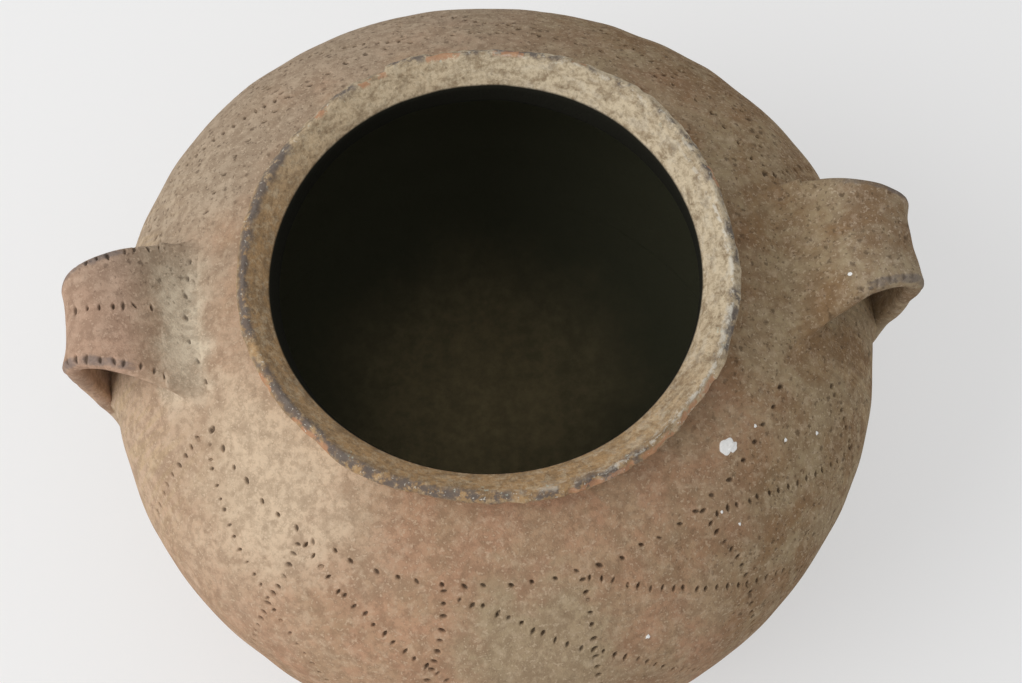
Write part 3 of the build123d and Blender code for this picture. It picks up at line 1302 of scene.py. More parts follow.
@dataclass
class LutingBed(Piece):
    """Bed of soft clay rubbed out from a strap's end to the wall, so that the strap grows out of it."""

    shape: PotShape
    hands: HandWork
    side: Side
    end: End
    line: StrapLine = StrapLine()
    cell: float = 0.6
    samples: int = 40
    side_spread: float = 12.0
    far_spread: float = 6.0
    near_inset: float = 2.5
    far_inset: float = 4.0
    web_reach: float = 8.5
    tail: float = 16.0
    least_lean: float = 0.25
    clear: float = 0.12
    drop_from: float = 0.8
    held_to: float = 1.05
    held_fade: float = 0.45
    under_height: float = 2.4
    under_reach: float = 7.0
    share_inset: float = 2.5
    share_over: float = 4.0
    play: Waves = Waves(51, 20, 12.0, 30.0, 0.15)
    play_to: float = 3.0
    play_fade: float = 4.0
    sink: float = 0.35
    sink_over: float = 0.5
    buried: float = 2.2
    buried_over: float = 0.06
    body: float = 1.0
    root_depth: float = 1.3

    slot = "luting_clay"

    @property
    def name(self) -> str:
        """Name of the bed."""
        return f"{self.side.word}_{self.end.word}_luting_bed"

    def height(self, points: Array, normals: Array) -> Array:
        """Height of the bed over the wall, a smooth union of the wall and the strap's straight end.

        The strap's face stands x = −over / cos(angle) above the wall. Where |x| is under the blend k, the bed
        is (x + k)² / 4k, which leaves both surfaces level with them. Beside the strap it thins out with x as
        a Gaussian, and falls off as a square; below the strap's lower end it thins out softly.

        Args:
            points: places on the wall, turned to the +X axis.
            normals: outward directions there.

        Returns:
            Height of each place over the wall.
        """
        corners = np.array(self.line.corners, float)
        upper = self.end is End.UPPER
        blend, edge = self.end.value[-1], self.line.edge_round
        start, to = (corners[0], corners[1]) if upper else (corners[4], corners[3])
        way = (to - start) / np.linalg.norm(to - start)
        face = np.array([-way[1], way[0]]) * (1.0 if upper else -1.0)
        flat = points[:, [0, 2]] - start
        along, over = flat @ way, flat @ face
        rise = -over / np.clip(normals[:, [0, 2]] @ face, self.least_lean, None)
        joined = np.where(np.abs(rise) < blend, (rise + blend) ** 2 / (4.0 * blend), np.clip(rise, 0.0, None))
        across = np.abs(points[:, 1]) - self.line.half_width(start + along[:, None] * way)
        drop = edge - np.sqrt(edge ** 2 - np.clip(across + edge, 0.0, edge) ** 2)
        dropped = smooth((rise / blend - self.drop_from) / (1.0 - self.drop_from))
        joined = joined - (self.clear + drop) * dropped
        held = 1.0 - smooth((rise / blend - self.held_to) / self.held_fade)
        gap = np.clip(-self.line.thickness - over, 0.0, None)
        under = self.under_height * np.clip(1.0 - gap / self.under_reach, 0.0, None) ** 2
        top = joined * held + under * (1.0 - held)
        web = joined * np.exp(-((np.clip(rise, 0.0, None) / self.web_reach) ** 2))
        at_back = points[:, 1] * self.side.far > 0.0
        spread = np.where(at_back, self.far_spread, self.side_spread)
        beside = np.clip(across + np.where(at_back, self.far_inset, self.near_inset), 0.0, None)
        fall = np.clip(1.0 - beside / spread, 0.0, None) ** 2
        share = smooth((across + self.share_inset) / self.share_over)
        ending = 1.0 if upper else smooth((along + self.tail) / self.tail)
        return (top * (1.0 - share) + web * share) * fall * ending

    def skin(self) -> Skin:
        """Builds the bed: its height over the wall, joined at its sunk border to an underside in the wall.

        Returns:
            The bed's surface.
        """
        low, high, wide, _ = self.end.value
        run = np.linspace(low, high, self.samples)
        rows = int(self.shape.stretch(run).mean() * (high - low) / self.cell)
        columns = int(np.radians(2.0 * wide) * self.shape.section(run)[0].mean() / self.cell)
        set_at = self.side.value
        across = np.linspace(-wide, wide, columns) + set_at
        grid = np.meshgrid(np.linspace(low, high, rows), across, indexing="ij")
        turn, azimuth = (part.ravel() for part in grid)
        base, normal = self.shape.place(azimuth, turn), self.shape.normal(azimuth, turn)
        top = self.height(turned(base, -set_at), turned(normal, -set_at))
        low_part = smooth(top) * (1.0 - smooth((top - self.play_to) / self.play_fade))
        top = top + self.play.at(base) * low_part
        covered = self.sink * (1.0 - smooth(top / self.sink_over))
        top = top - covered - self.buried * (1.0 - smooth(top / self.buried_over))
        sunk, pit = np.zeros((2, len(turn)))
        if self.end is End.UPPER and self.side is Side.LEFT:
            sunk, pit = Prick(*root_holes(self.root_depth)).press_wall(self.shape, azimuth, turn)
        seat = self.hands.moved(base, normal)
        upper = seat + (top + sunk)[:, None] * normal
        lower = seat - (self.sink + self.buried + self.body) * normal
        shift = rows * columns
        number = np.arange(shift).reshape(rows, columns)
        quads = np.stack([number[:-1, :-1], number[:-1, 1:], number[1:, 1:], number[1:, :-1]], axis=-1)
        quads = quads.reshape(-1, 4)
        border = np.concatenate([number[0, :-1], number[:-1, -1], number[-1, :0:-1], number[:0:-1, 0]])
        after = np.roll(border, -1)
        band = np.stack([border + shift, after + shift, after, border], axis=1)
        lines, zero = np.zeros((2, 2 * shift))
        lines[border], lines[border + shift] = 1.0, 2.0
        values = {"punch": np.concatenate([pit, np.zeros(shift)]), "lime": zero, "inside": zero}
        faces = [np.concatenate([quads, quads[:, ::-1] + shift, band])]
        return Skin(np.concatenate([upper, lower]), faces, values, lines)


@dataclass(frozen=True)
class Blots:
    """Blotches: noise with lumps of this many millimetres, cut softly between two levels, and how strongly it
    shows."""

    size: float
    detail: float
    rough: float
    low: float
    high: float
    share: float = 1.0
    twist: float = 0.0


class Measure(Enum):
    """How the distance of a region is taken, by the vector node's operation."""

    ALONG = "DOT_PRODUCT"
    AWAY = "DISTANCE"


@dataclass(frozen=True)
class Region:
    """Part of the pot, from one distance to another in metres, along a direction or away from a point, and
    the values at its two borders."""

    measure: Measure
    at: Triple
    low: float
    high: float
    bottom: float = 0.0
    top: float = 1.0


@dataclass(frozen=True)
class Graph:
    """Draws the nodes of one material, world or node group."""

    tree: bpy.types.NodeTree
    core: float = 0.2
    speck_core: float = 0.35
    chance_soft: float = 0.05

    def add(self, kind: str, inputs: Inputs | None = None, **settings: Value) -> bpy.types.Node:
        """Adds a node.

        Args:
            kind: type of the node.
            inputs: outputs to link or constants to set, by the name or number of the socket.
            settings: plain settings of the node.

        Returns:
            The node.
        """
        node = self.tree.nodes.new(kind)
        for key, value in settings.items():
            setattr(node, key, value)
        for key, value in (inputs or {}).items():
            socket = node.inputs[key]
            if isinstance(value, Socket):
                self.tree.links.new(value, socket)
            else:
                socket.default_value = (*value, 1.0) if socket.type == "RGBA" else value
        return node

    def place(self) -> Socket:
        """Object coordinates, which are the pot's own frame in metres."""
        return self.add("ShaderNodeTexCoord").outputs["Object"]

    def value(self, name: str) -> Socket:
        """Value that the mesh carries by name."""
        return self.add("ShaderNodeAttribute", attribute_name=name).outputs["Fac"]

    def math(self, kind: str, a: Value, b: Value = 0.0) -> Socket:
        """Result of a sum, product or other plain reckoning."""
        return self.add("ShaderNodeMath", {0: a, 1: b}, operation=kind).outputs[0]

    def plus(self, a: Value, b: Value) -> Socket:
        """Sum of two values."""
        return self.math("ADD", a, b)

    def times(self, *factors: Value) -> Socket:
        """Product of two or more values."""
        return functools.reduce(functools.partial(self.math, "MULTIPLY"), factors)

    def vector(self, kind: str, *inputs: Value) -> bpy.types.Node:
        """Node that reckons with vectors."""
        return self.add("ShaderNodeVectorMath", dict(enumerate(inputs)), operation=kind)

    def along(self, where: Value, direction: Triple) -> Socket:
        """Distance along a direction, in metres."""
        return self.vector(Measure.ALONG.value, where, direction).outputs["Value"]

    def step(self, value: Value, low: float, high: float, bottom: float = 0.0, top: float = 1.0) -> Value:
        """Soft step of a value from bottom at low to top at high."""
        inputs = {"Value": value, "From Min": low, "From Max": high, "To Min": bottom, "To Max": top}
        return self.add("ShaderNodeMapRange", inputs, interpolation_type="SMOOTHSTEP").outputs[0]

    def band(self, value: Value, middle: float, reach: float) -> Socket:
        """One at the middle, falling softly to nothing at this reach on both sides."""
        away = self.math("ABSOLUTE", self.math("SUBTRACT", value, middle))
        return self.step(away, reach, self.core * reach)

    def region(self, where: Value, region: Region, sway: Value = 0.0) -> Socket:
        """Share of a region, whose border a sway moves to and fro."""
        far = self.plus(self.vector(region.measure.value, where, region.at).outputs["Value"], sway)
        return self.step(far, region.low, region.high, region.bottom, region.top)

    def noise(self, where: Value, size: float, detail: float, rough: float, twist: float = 0.0) -> Value:
        """Noise, 0 to 1, whose lumps are about this many millimetres across."""
        inputs = {"Vector": where, "Scale": 1.0 / (size * MM), "Detail": detail, "Roughness": rough}
        return self.add("ShaderNodeTexNoise", {**inputs, "Distortion": twist}).outputs["Fac"]

    def sway(self, where: Value, size: float, detail: float, rough: float, reach: float) -> Value:
        """Noise about nothing, as far as half this reach to both sides."""
        return self.times(self.math("SUBTRACT", self.noise(where, size, detail, rough), 0.5), reach)

    def blots(self, where: Value, blots: Blots) -> Socket:
        """Share of blotches."""
        noise = self.noise(where, blots.size, blots.detail, blots.rough, blots.twist)
        return self.step(noise, blots.low, blots.high, 0.0, blots.share)

    def frayed(self, where: Value, size: float, reach: float) -> Socket:
        """Coordinates pushed about by noise of this size, as far as this reach, both in millimetres."""
        noise = self.add("ShaderNodeTexNoise", {"Vector": where, "Scale": 1.0 / (size * MM)}).outputs["Color"]
        return self.vector("MULTIPLY_ADD", noise, (reach * MM,) * 3, where).outputs[0]

    def specks(self, where: Value, size: float, reach: float, kept: float) -> Socket:
        """Round specks, one to a cell.

        Args:
            where: coordinates.
            size: millimetres of a cell.
            reach: radius of a speck, as a share of the cell.
            kept: share of the cells that have one.

        Returns:
            Share of specks.
        """
        cells = self.add("ShaderNodeTexVoronoi", {"Vector": where, "Scale": 1.0 / (size * MM)}).outputs
        chance = self.add("ShaderNodeSeparateColor", {0: cells["Color"]}).outputs[0]
        chosen = self.step(chance, kept, kept - self.chance_soft)
        return self.times(self.step(cells["Distance"], reach, self.speck_core * reach), chosen)

    def ringed(self, where: Value, radius: float, rise: Value) -> Socket:
        """Coordinates on a drum round the axis.

        Args:
            where: coordinates, whose direction from the axis is taken.
            radius: radius of the drum, in metres.
            rise: height on the drum, in metres.

        Returns:
            Coordinates on the drum.
        """
        flat = self.vector("MULTIPLY", where, (1.0, 1.0, 0.0)).outputs[0]
        out = self.vector("NORMALIZE", flat).outputs[0]
        height = self.add("ShaderNodeCombineXYZ", {"Z": rise}).outputs[0]
        return self.vector("MULTIPLY_ADD", out, (radius, radius, 0.0), height).outputs[0]

    def mix(self, share: Value, a: Value, b: Value, blend: str = "MIX") -> Socket:
        """Colour between two, or one laid over the other."""
        inputs = {"Factor": share, "A": a, "B": b}
        return self.add("ShaderNodeMix", inputs, data_type="RGBA", blend_type=blend).outputs["Result"]


Groups = dict[str, bpy.types.NodeTree]
COLOUR, NUMBER = "NodeSocketColor", "NodeSocketFloat"
EAST, NORTH, UP = (1.0, 0.0, 0.0), (0.0, 1.0, 0.0), (0.0, 0.0, 1.0)


def new_group(name: str, inputs: dict[str, str], outputs: dict[str, str]) -> Graph:
    """Starts a shader node group.

    Args:
        name: name of the group.
        inputs: socket kinds by name.
        outputs: socket kinds by name.

    Returns:
        The empty group with its sockets.
    """
    tree = bpy.data.node_groups.new(name, "ShaderNodeTree")
    for in_out, sockets in (("INPUT", inputs), ("OUTPUT", outputs)):
        for key, kind in sockets.items():
            tree.interface.new_socket(key, in_out=in_out, socket_type=kind)
    return Graph(tree)


def new_material(name: str) -> tuple[bpy.types.Material, Graph]:
    """Starts a material.

    Args:
        name: name of the material.

    Returns:
        The material, and its empty nodes.
    """
    material = bpy.data.materials.new(name)
    material.use_nodes = True
    material.node_tree.nodes.clear()
    return material, Graph(material.node_tree)


@dataclass(frozen=True)
class FiredClay:
    """Low-fired clay: mottled tones in several sizes, dark specks and pits, and a sandy grain."""

    shades: tuple[Blots, ...] = (
        Blots(38.0, 4.0, 0.55, 0.40, 0.70, 0.45, 0.3),
        Blots(7.0, 6.0, 0.66, 0.46, 0.60, 0.70, 0.3),
        Blots(2.8, 5.0, 0.68, 0.45, 0.60, 0.72),
    )
    pales: tuple[Blots, ...] = (
        Blots(4.6, 6.0, 0.68, 0.49, 0.68, 0.55),
        Blots(1.4, 2.0, 0.60, 0.56, 0.68, 0.75),
    )
    shade_share: float = 0.5
    fray: Pair = (1.3, 2.4)
    dust: Triple = (1.9, 0.38, 0.5)
    pits: Triple = (4.6, 0.30, 0.5)
    dust_share: float = 0.65
    dust_least: float = 0.13
    speck_share: float = 0.75
    grain: Triple = (0.9, 2.0, 0.6)
    grain_share: float = 0.4
    lumps: Triple = (4.0, 4.0, 0.6)
    lumps_share: float = 0.6
    pit_depth: float = 0.3

    def group(self) -> bpy.types.NodeTree:
        """Builds the shared node group.

        Returns:
            Group with Clay, Dark, Pale and Speck colours and a Specks share in, and Colour and Height out.
        """
        colours = {name: COLOUR for name in ("Clay", "Dark", "Pale", "Speck")}
        graph = new_group("fired_clay", {**colours, "Specks": NUMBER}, {"Colour": COLOUR, "Height": NUMBER})
        given = graph.add("NodeGroupInput").outputs
        where = graph.place()
        tone, shade = given["Clay"], graph.mix(self.shade_share, given["Clay"], given["Dark"])
        for colour, layers in ((shade, self.shades), (given["Pale"], self.pales)):
            for blots in layers:
                tone = graph.mix(graph.blots(where, blots), tone, colour)
        ragged = graph.frayed(where, *self.fray)
        dusty = graph.plus(graph.times(given["Specks"], self.dust_share), self.dust_least)
        dust = graph.times(graph.specks(ragged, *self.dust), dusty)
        spot = graph.math("MAXIMUM", dust, graph.times(graph.specks(ragged, *self.pits), given["Specks"]))
        tone = graph.mix(graph.times(spot, self.speck_share), tone, given["Speck"])
        grain = graph.times(graph.noise(where, *self.grain), self.grain_share)
        height = graph.plus(grain, graph.times(graph.noise(where, *self.lumps), self.lumps_share))
        height = graph.math("SUBTRACT", height, graph.times(spot, self.pit_depth))
        graph.add("NodeGroupOutput", {"Colour": tone, "Height": height})
        return graph.tree


@dataclass(frozen=True)
class Weather:
    """Where the pot has weathered, and where light and shade are painted on it: rough and dark brown on the
    far right with olive clouds, the darkness partly wear and partly painted shade; pale on the left and
    palest at the left front, partly washing and bleaching and partly painted light; greyed at the back, with
    a green-grey patch at the front, rubbed streaks down the wall under the handles, and pale slip at the left
    strap's root."""

    wide_sway: tuple[float, ...] = (45.0, 5.0, 0.62, 0.2)
    small_sway: tuple[float, ...] = (14.0, 5.0, 0.65, 0.05)
    # Far right: darker, partly wear and partly painted shade for the side turned from the lamp.
    worn: Region = Region(Measure.ALONG, (0.99, 0.14, 0.0), -0.02, 0.12)
    # Left and upper side: paler, partly washing and partly painted light towards the lamp.
    washed: Region = Region(Measure.ALONG, (-0.95, 0.05, 0.3), 0.085, 0.175)
    greyed: Region = Region(Measure.ALONG, (-0.35, 0.93, 0.0), 0.02, 0.11)
    patch: Region = Region(Measure.AWAY, (0.004, -0.132, 0.146), 0.040, 0.018)
    # Left front of the shoulder: palest, partly bleaching and partly a painted pool of light where the lamp
    # falls most.
    bleached: Region = Region(Measure.AWAY, (-0.088, -0.062, 0.172), 0.056, 0.016)
    olive: Blots = Blots(20.0, 7.0, 0.68, 0.38, 0.63, twist=0.4)
    streak: Blots = Blots(2.4, 3.0, 0.6, 0.45, 0.66)
    streak_radius: float = 0.14
    streak_squeeze: float = 0.12
    streak_aside: Pair = (0.09, 0.035)
    streak_below: Region = Region(Measure.ALONG, UP, 0.168, 0.14)
    slip_place: float = 0.117
    slip_sway: float = 0.5
    slip_wide: Pair = (0.014, 0.003)
    slip_aside: Pair = (0.038, 0.014)
    slip_above: Region = Region(Measure.ALONG, UP, 0.14, 0.155)

    def group(self) -> bpy.types.NodeTree:
        """Builds the shared node group.

        Returns:
            Group with these shares out: worn and painted shade, washing and painted light, greyed, patch,
                bleaching and painted light, olive, streak and slip.
        """
        names = ("Worn", "Washed", "Greyed", "Patch", "Bleached", "Olive", "Streak", "Slip")
        graph = new_group("weather", {}, {name: NUMBER for name in names})
        where = graph.place()
        wide, small = graph.sway(where, *self.wide_sway), graph.sway(where, *self.small_sway)
        swayed = [graph.region(where, region, wide) for region in (self.worn, self.washed, self.greyed)]
        swayed += [graph.region(where, region, small) for region in (self.patch, self.bleached)]
        aside = graph.math("ABSOLUTE", graph.along(where, NORTH))
        rise = graph.times(graph.along(where, UP), self.streak_squeeze)
        drum = graph.ringed(where, self.streak_radius, rise)
        under = graph.times(graph.step(aside, *self.streak_aside), graph.region(where, self.streak_below))
        root = graph.math("ABSOLUTE", graph.plus(graph.along(where, EAST), self.slip_place))
        root = graph.step(graph.plus(root, graph.times(small, self.slip_sway)), *self.slip_wide)
        slip = graph.times(root, graph.step(aside, *self.slip_aside), graph.region(where, self.slip_above))
        streak = graph.times(graph.blots(drum, self.streak), under)
        shares = [*swayed, graph.blots(where, self.olive), streak, slip]
        graph.add("NodeGroupOutput", dict(zip(names, shares)))
        return graph.tree


@dataclass(frozen=True)
class Soot:
    """Dark inside, soot and painted shade: dark up to the throat and painted near black higher up, with brown
    silt round the middle of the floor.
    """

    sway: tuple[float, ...] = (34.0, 4.0, 0.6, 0.035)
    silted: Region = Region(Measure.AWAY, (0.0, 0.020, 0.0), 0.088, 0.005)
    mottle: Triple = (6.0, 6.0, 0.7)
    mottled: tuple[float, ...] = (0.30, 0.72, 0.55, 1.0)
    # Painted shade: the inside turns near black from 100 mm up, fully at 150 mm, where the lamp reaches it.
    throat: Region = Region(Measure.ALONG, UP, 0.10, 0.15)
    inside: Pair = (0.02, 0.6)

    def group(self) -> bpy.types.NodeTree:
        """Builds the shared node group.

        Returns:
            Group with the clay colour, the soot-and-shade colour, the silt colour and the throat's
            painted-shade colour, and an Inside share in, and Colour out.
        """
        colours = {name: COLOUR for name in ("Colour", "Soot", "Silt", "Throat")}
        graph = new_group("soot", {**colours, "Inside": NUMBER}, {"Colour": COLOUR})
        given = graph.add("NodeGroupInput").outputs
        where = graph.place()
        low = graph.region(where, self.silted, graph.sway(where, *self.sway))
        mottle = graph.step(graph.noise(where, *self.mottle), *self.mottled)
        # Dark inside: soot and painted shade, with silt round the floor's middle.
        soot = graph.mix(graph.times(low, mottle), given["Soot"], given["Silt"])
        # Painted shade towards the throat.
        soot = graph.mix(graph.region(where, self.throat), soot, given["Throat"])
        inside = graph.step(given["Inside"], *self.inside)
        graph.add("NodeGroupOutput", {"Colour": graph.mix(inside, given["Colour"], soot)})
        return graph.tree


@dataclass(frozen=True)
class ClayFinish:
    """Fired clay as a finish: its colours, and how its marks lie over it."""

    name: str
    clay: Triple = (0.49, 0.29, 0.182)
    # Pale tones of the left and the left front: washing and bleaching, and painted light.
    washed: Triple = (0.555, 0.395, 0.275)
    bleached: Triple = (0.68, 0.52, 0.365)
    greyed: Triple = (0.45, 0.36, 0.262)
    # Dark brown of the far right: wear and painted shade.
    worn: Triple = (0.27, 0.17, 0.088)
    olive: Triple = (0.40, 0.31, 0.19)
    ochre: Triple = (0.56, 0.41, 0.235)
    patch: Triple = (0.42, 0.33, 0.21)
    slip: Triple = (0.79, 0.69, 0.525)
    dark: Triple = (0.175, 0.108, 0.063)
    pale: Triple = (0.68, 0.54, 0.39)
    speck: Triple = (0.075, 0.048, 0.028)
    # Dark fill of the pricked holes: dirt and painted shade.
    hole: Triple = (0.085, 0.06, 0.042)
    # Dark inside: soot and painted shade.
    soot: Triple = (0.075, 0.074, 0.045)
    # Near-black throat: painted shade, darker than the rest of the inside because the lamp reaches it.
    throat: Triple = (0.0125, 0.012, 0.008)
    silt: Triple = (0.40, 0.315, 0.165)
    lime: Triple = (0.97, 0.965, 0.94)
    olive_share: float = 0.4
    greyed_share: float = 0.8
    patch_share: float = 0.8
    streak_share: float = 0.5
    slip_share: float = 0.8
    worn_olive: float = 0.9
    pale_share: float = 0.45
    greyed_specks: float = 0.85
    fewest_specks: float = 0.10
    most_specks: float = 0.8
    hole_dark: tuple[float, ...] = (0.05, 0.9, 0.0, 0.72)
    lime_edge: Pair = (0.2, 0.6)
    roughness: float = 0.9
    gloss: float = 0.12
    grain: float = 0.55
    grain_height: float = 0.0011

    def body(self, graph: Graph, groups: Groups) -> tuple[Value, Value]:
        """Adds the clay and its weathering, with painted shade on the far right and painted light on the
        left, one share after another.

        Args:
            graph: nodes of the material.
            groups: shared node groups.

        Returns:
            Colour and grain height.
        """
        weather = graph.add("ShaderNodeGroup", node_tree=groups["weather"]).outputs
        # Far-right colour with olive clouds: wear and painted shade.
        worn = graph.mix(graph.times(weather["Olive"], self.worn_olive), self.worn, self.olive)
        tone = self.clay
        for name, share, colour in (
            ("Olive", self.olive_share, self.olive), ("Washed", 1.0, self.washed),
            ("Bleached", 1.0, self.bleached), ("Greyed", self.greyed_share, self.greyed),
            ("Worn", 1.0, worn), ("Patch", self.patch_share, self.patch),
            ("Streak", self.streak_share, self.ochre), ("Slip", self.slip_share, self.slip),
        ):
            tone = graph.mix(graph.times(weather[name], share), tone, colour)
        rough = graph.math("MAXIMUM", weather["Worn"], graph.times(weather["Greyed"], self.greyed_specks))
        inputs = {
            "Clay": tone, "Dark": self.dark, "Pale": graph.mix(self.pale_share, tone, self.pale),
            "Speck": self.speck, "Specks": graph.step(rough, 0.0, 1.0, self.fewest_specks, self.most_specks),
        }
        clay = graph.add("ShaderNodeGroup", inputs, node_tree=groups["fired_clay"]).outputs
        return clay["Colour"], clay["Height"]

    def marked(self, graph: Graph, colour: Value, height: Value) -> tuple[Value, Value]:
        """Colour and grain height with marks over them: dark in the pricked holes, dirt and painted shade,
        white with dried lime.
        """
        # Darker the deeper a hole: dirt and painted shade.
        colour = graph.mix(graph.step(graph.value("punch"), *self.hole_dark), colour, self.hole)
        return graph.mix(graph.step(graph.value("lime"), *self.lime_edge), colour, self.lime), height

    def material(self, groups: Groups) -> bpy.types.Material:
        """Builds the material: clay with its marks, its inside darkened with soot and painted shade, with a
        sandy grain.

        Args:
            groups: shared node groups.

        Returns:
            The material.
        """
        material, graph = new_material(self.name)
        colour, height = self.marked(graph, *self.body(graph, groups))
        inputs = {
            "Colour": colour, "Soot": self.soot, "Silt": self.silt, "Throat": self.throat,
            "Inside": graph.value("inside"),
        }
        # Darkens the inside with soot and painted shade.
        sooty = graph.add("ShaderNodeGroup", inputs, node_tree=groups["soot"]).outputs["Colour"]
        inputs = {"Strength": self.grain, "Distance": self.grain_height, "Height": height}
        grain = graph.add("ShaderNodeBump", inputs).outputs["Normal"]
        inputs = {
            "Base Color": sooty, "Normal": grain,
            "Roughness": self.roughness, "Specular IOR Level": self.gloss,
        }
        shader = graph.add("ShaderNodeBsdfPrincipled", inputs).outputs["BSDF"]
        graph.add("ShaderNodeOutputMaterial", {"Surface": shader})
        return material


@dataclass(frozen=True)
class StrapFinish(ClayFinish):
    """Clay of the straps: wall clay at their roots, pinker on the left and greyer on the right where they
    stand free, with grime rubbed along the edges."""

    left_tint: Triple = (0.97, 0.90, 0.92)
    right_tint: Triple = (1.0, 1.03, 1.1)
    to_right: Region = Region(Measure.ALONG, EAST, -0.05, 0.05)
    grime: Triple = (0.15, 0.135, 0.135)
    grime_sway: tuple[float, ...] = (6.0, 6.0, 0.68, 1.6)
    grimy: tuple[float, ...] = (0.6, 1.2, 0.0, 0.62)

    def marked(self, graph: Graph, colour: Value, height: Value) -> tuple[Value, Value]:
        """Tints the clay, and lays the grime over the edges, in patches, under the other marks.

        Args:
            graph: nodes of the material.
            colour: colour of the clay.
            height: its grain height.

        Returns:
            Colour and grain height.
        """
        where = graph.place()
        tint = graph.mix(graph.region(where, self.to_right), self.left_tint, self.right_tint)
        colour = graph.mix(graph.value("free"), colour, tint, "MULTIPLY")
        grimy = graph.plus(graph.value("edge"), graph.sway(where, *self.grime_sway))
        return super().marked(graph, graph.mix(graph.step(grimy, *self.grimy), colour, self.grime), height)


@dataclass(frozen=True)
class RimFinish(ClayFinish):
    """Clay of the rim: wall clay up to the neck, then the lip's own tones: a mottled slope, a sooty worn edge
    in patches, orange flakes, pale bloom, green spots and grit."""

    slope: Triple = (0.665, 0.555, 0.39)
    brown: Triple = (0.43, 0.27, 0.13)
    shade: Triple = (0.20, 0.135, 0.075)
    edge: Triple = (0.118, 0.101, 0.096)
    flake: Triple = (0.50, 0.255, 0.14)
    # Pale bloom colour, also used for the painted highlight on the crest.
    bloom: Triple = (0.72, 0.67, 0.57)
    verdigris: Triple = (0.52, 0.56, 0.46)
    # Pale slope at the right and behind: the lip's own tone and painted light.
    right: Region = Region(Measure.ALONG, (0.80, 0.60, 0.0), -0.03, 0.075)
    front: Region = Region(Measure.ALONG, (-0.8, -0.6, 0.0), -0.01, 0.07)
    behind: Region = Region(Measure.ALONG, NORTH, 0.02, 0.085, 0.0, 0.75)
    left: Region = Region(Measure.ALONG, (-1.0, 0.0, 0.0), 0.045, 0.085)
    # Painted highlight: pale beads along the lip's crest, only on the sunny right front.
    sunny: Region = Region(Measure.ALONG, (0.94, -0.34, 0.0), 0.045, 0.08)
    bloom_right: Region = Region(Measure.ALONG, (0.9, 0.0, 0.0), -0.02, 0.03, 0.1, 1.0)
    ridge_drift: Region = Region(Measure.ALONG, NORTH, -0.04, 0.05, 3.8, 8.0)
    drum_radius: float = 0.045
    on_lip: Pair = (-3.2, -1.6)
    lip_share: float = 0.92
    mottle: Blots = Blots(3.6, 7.0, 0.72, 0.42, 0.64, 0.75, 0.3)
    light: Blots = Blots(2.8, 7.0, 0.72, 0.45, 0.63, twist=0.2)
    light_range: Pair = (0.38, 0.62)
    fine: Blots = Blots(1.7, 4.0, 0.7, 0.47, 0.62, 0.35)
    dot_fray: Pair = (1.8, 2.2)
    dots: Triple = (2.2, 0.38, 0.6)
    dot_share: float = 0.3
    stray: tuple[float, ...] = (5.0, 6.0, 0.7, 7.0)
    soot_lengths: Triple = (17.0, 4.0, 0.55)
    soot_front: float = 0.11
    soot_from: Pair = (0.42, 0.53)
    soot_crumbs: Triple = (4.2, 5.0, 0.66)
    soot_left: float = 0.06
    soot_broken: Pair = (0.40, 0.54)
    soot_inward: float = -1.4
    soot_band: Pair = (2.4, 4.4)
    soot_share: float = 0.85
    crumbs: Blots = Blots(3.4, 6.0, 0.7, 0.36, 0.52)
    flaked: tuple[float, ...] = (0.2, 0.75, 0.0, 0.75)
    bloomed: Blots = Blots(4.0, 6.0, 0.7, 0.50, 0.62, twist=0.4)
    crest_sway: float = -0.6
    crest_band: Pair = (4.6, 2.4)
    crest_share: float = 0.35
    bloom_least: float = 0.16
    beads: Blots = Blots(3.2, 5.0, 0.66, 0.46, 0.56, 0.75)
    ridge_sway: float = 0.25
    ridge_reach: float = 1.1
    green: Blots = Blots(2.6, 4.0, 0.66, 0.64, 0.70, 0.6)
    green_band: Pair = (5.0, 5.0)
    grit: Blots = Blots(1.3, 2.0, 0.6, 0.63, 0.72, 0.7)
    grit_band: Pair = (2.0, 5.0)
    crust: Triple = (3.0, 5.0, 0.66)
    crust_height: float = 0.5

    def sloped(self, graph: Graph, where: Value, drawn: Value) -> Value:
        """Tones of the lip's slope: brown at the left; pale at the right and behind, partly its own tone and
        partly painted light where the inner slope faces the lamp; mottled and dotted.

        Args:
            graph: nodes of the material.
            where: coordinates.
            drawn: coordinates drawn out along the lip.

        Returns:
            Colour of the slope.
        """
        # Pale at the right and behind: own tone and painted light.
        right = graph.region(where, self.right)
        pale = graph.math("MAXIMUM", right, graph.region(where, self.behind))
        lighter = graph.times(graph.blots(where, self.light), graph.step(right, 0.0, 1.0, *self.light_range))
        dots = graph.specks(graph.frayed(where, *self.dot_fray), *self.dots)
        tone = self.brown
        for share, colour in (
            (pale, self.slope), (graph.blots(drawn, self.mottle), self.shade), (lighter, self.slope),
            (graph.blots(where, self.fine), self.shade), (graph.times(dots, self.dot_share), self.speck),
        ):
            tone = graph.mix(share, tone, colour)
        return tone

    def sooty_edge(self, graph: Graph, where: Value, way: Value) -> Value:
        """Share of soot on the lip's edge: long patches, crumbled, more of them and wider at the left.

        Args:
            graph: nodes of the material.
            where: coordinates.
            way: millimetres from the lip's edge towards the mouth, swayed.

        Returns:
            Share of the soot.
        """
        left = graph.region(where, self.left)
        front = graph.times(graph.region(where, self.front), self.soot_front)
        patches = graph.step(graph.plus(graph.noise(where, *self.soot_lengths), front), *self.soot_from)
        crumbled = graph.plus(graph.noise(where, *self.soot_crumbs), graph.times(left, self.soot_left))
        band = graph.band(graph.plus(way, graph.times(left, self.soot_inward)), *self.soot_band)
        return graph.times(band, patches, graph.step(crumbled, *self.soot_broken), self.soot_share)

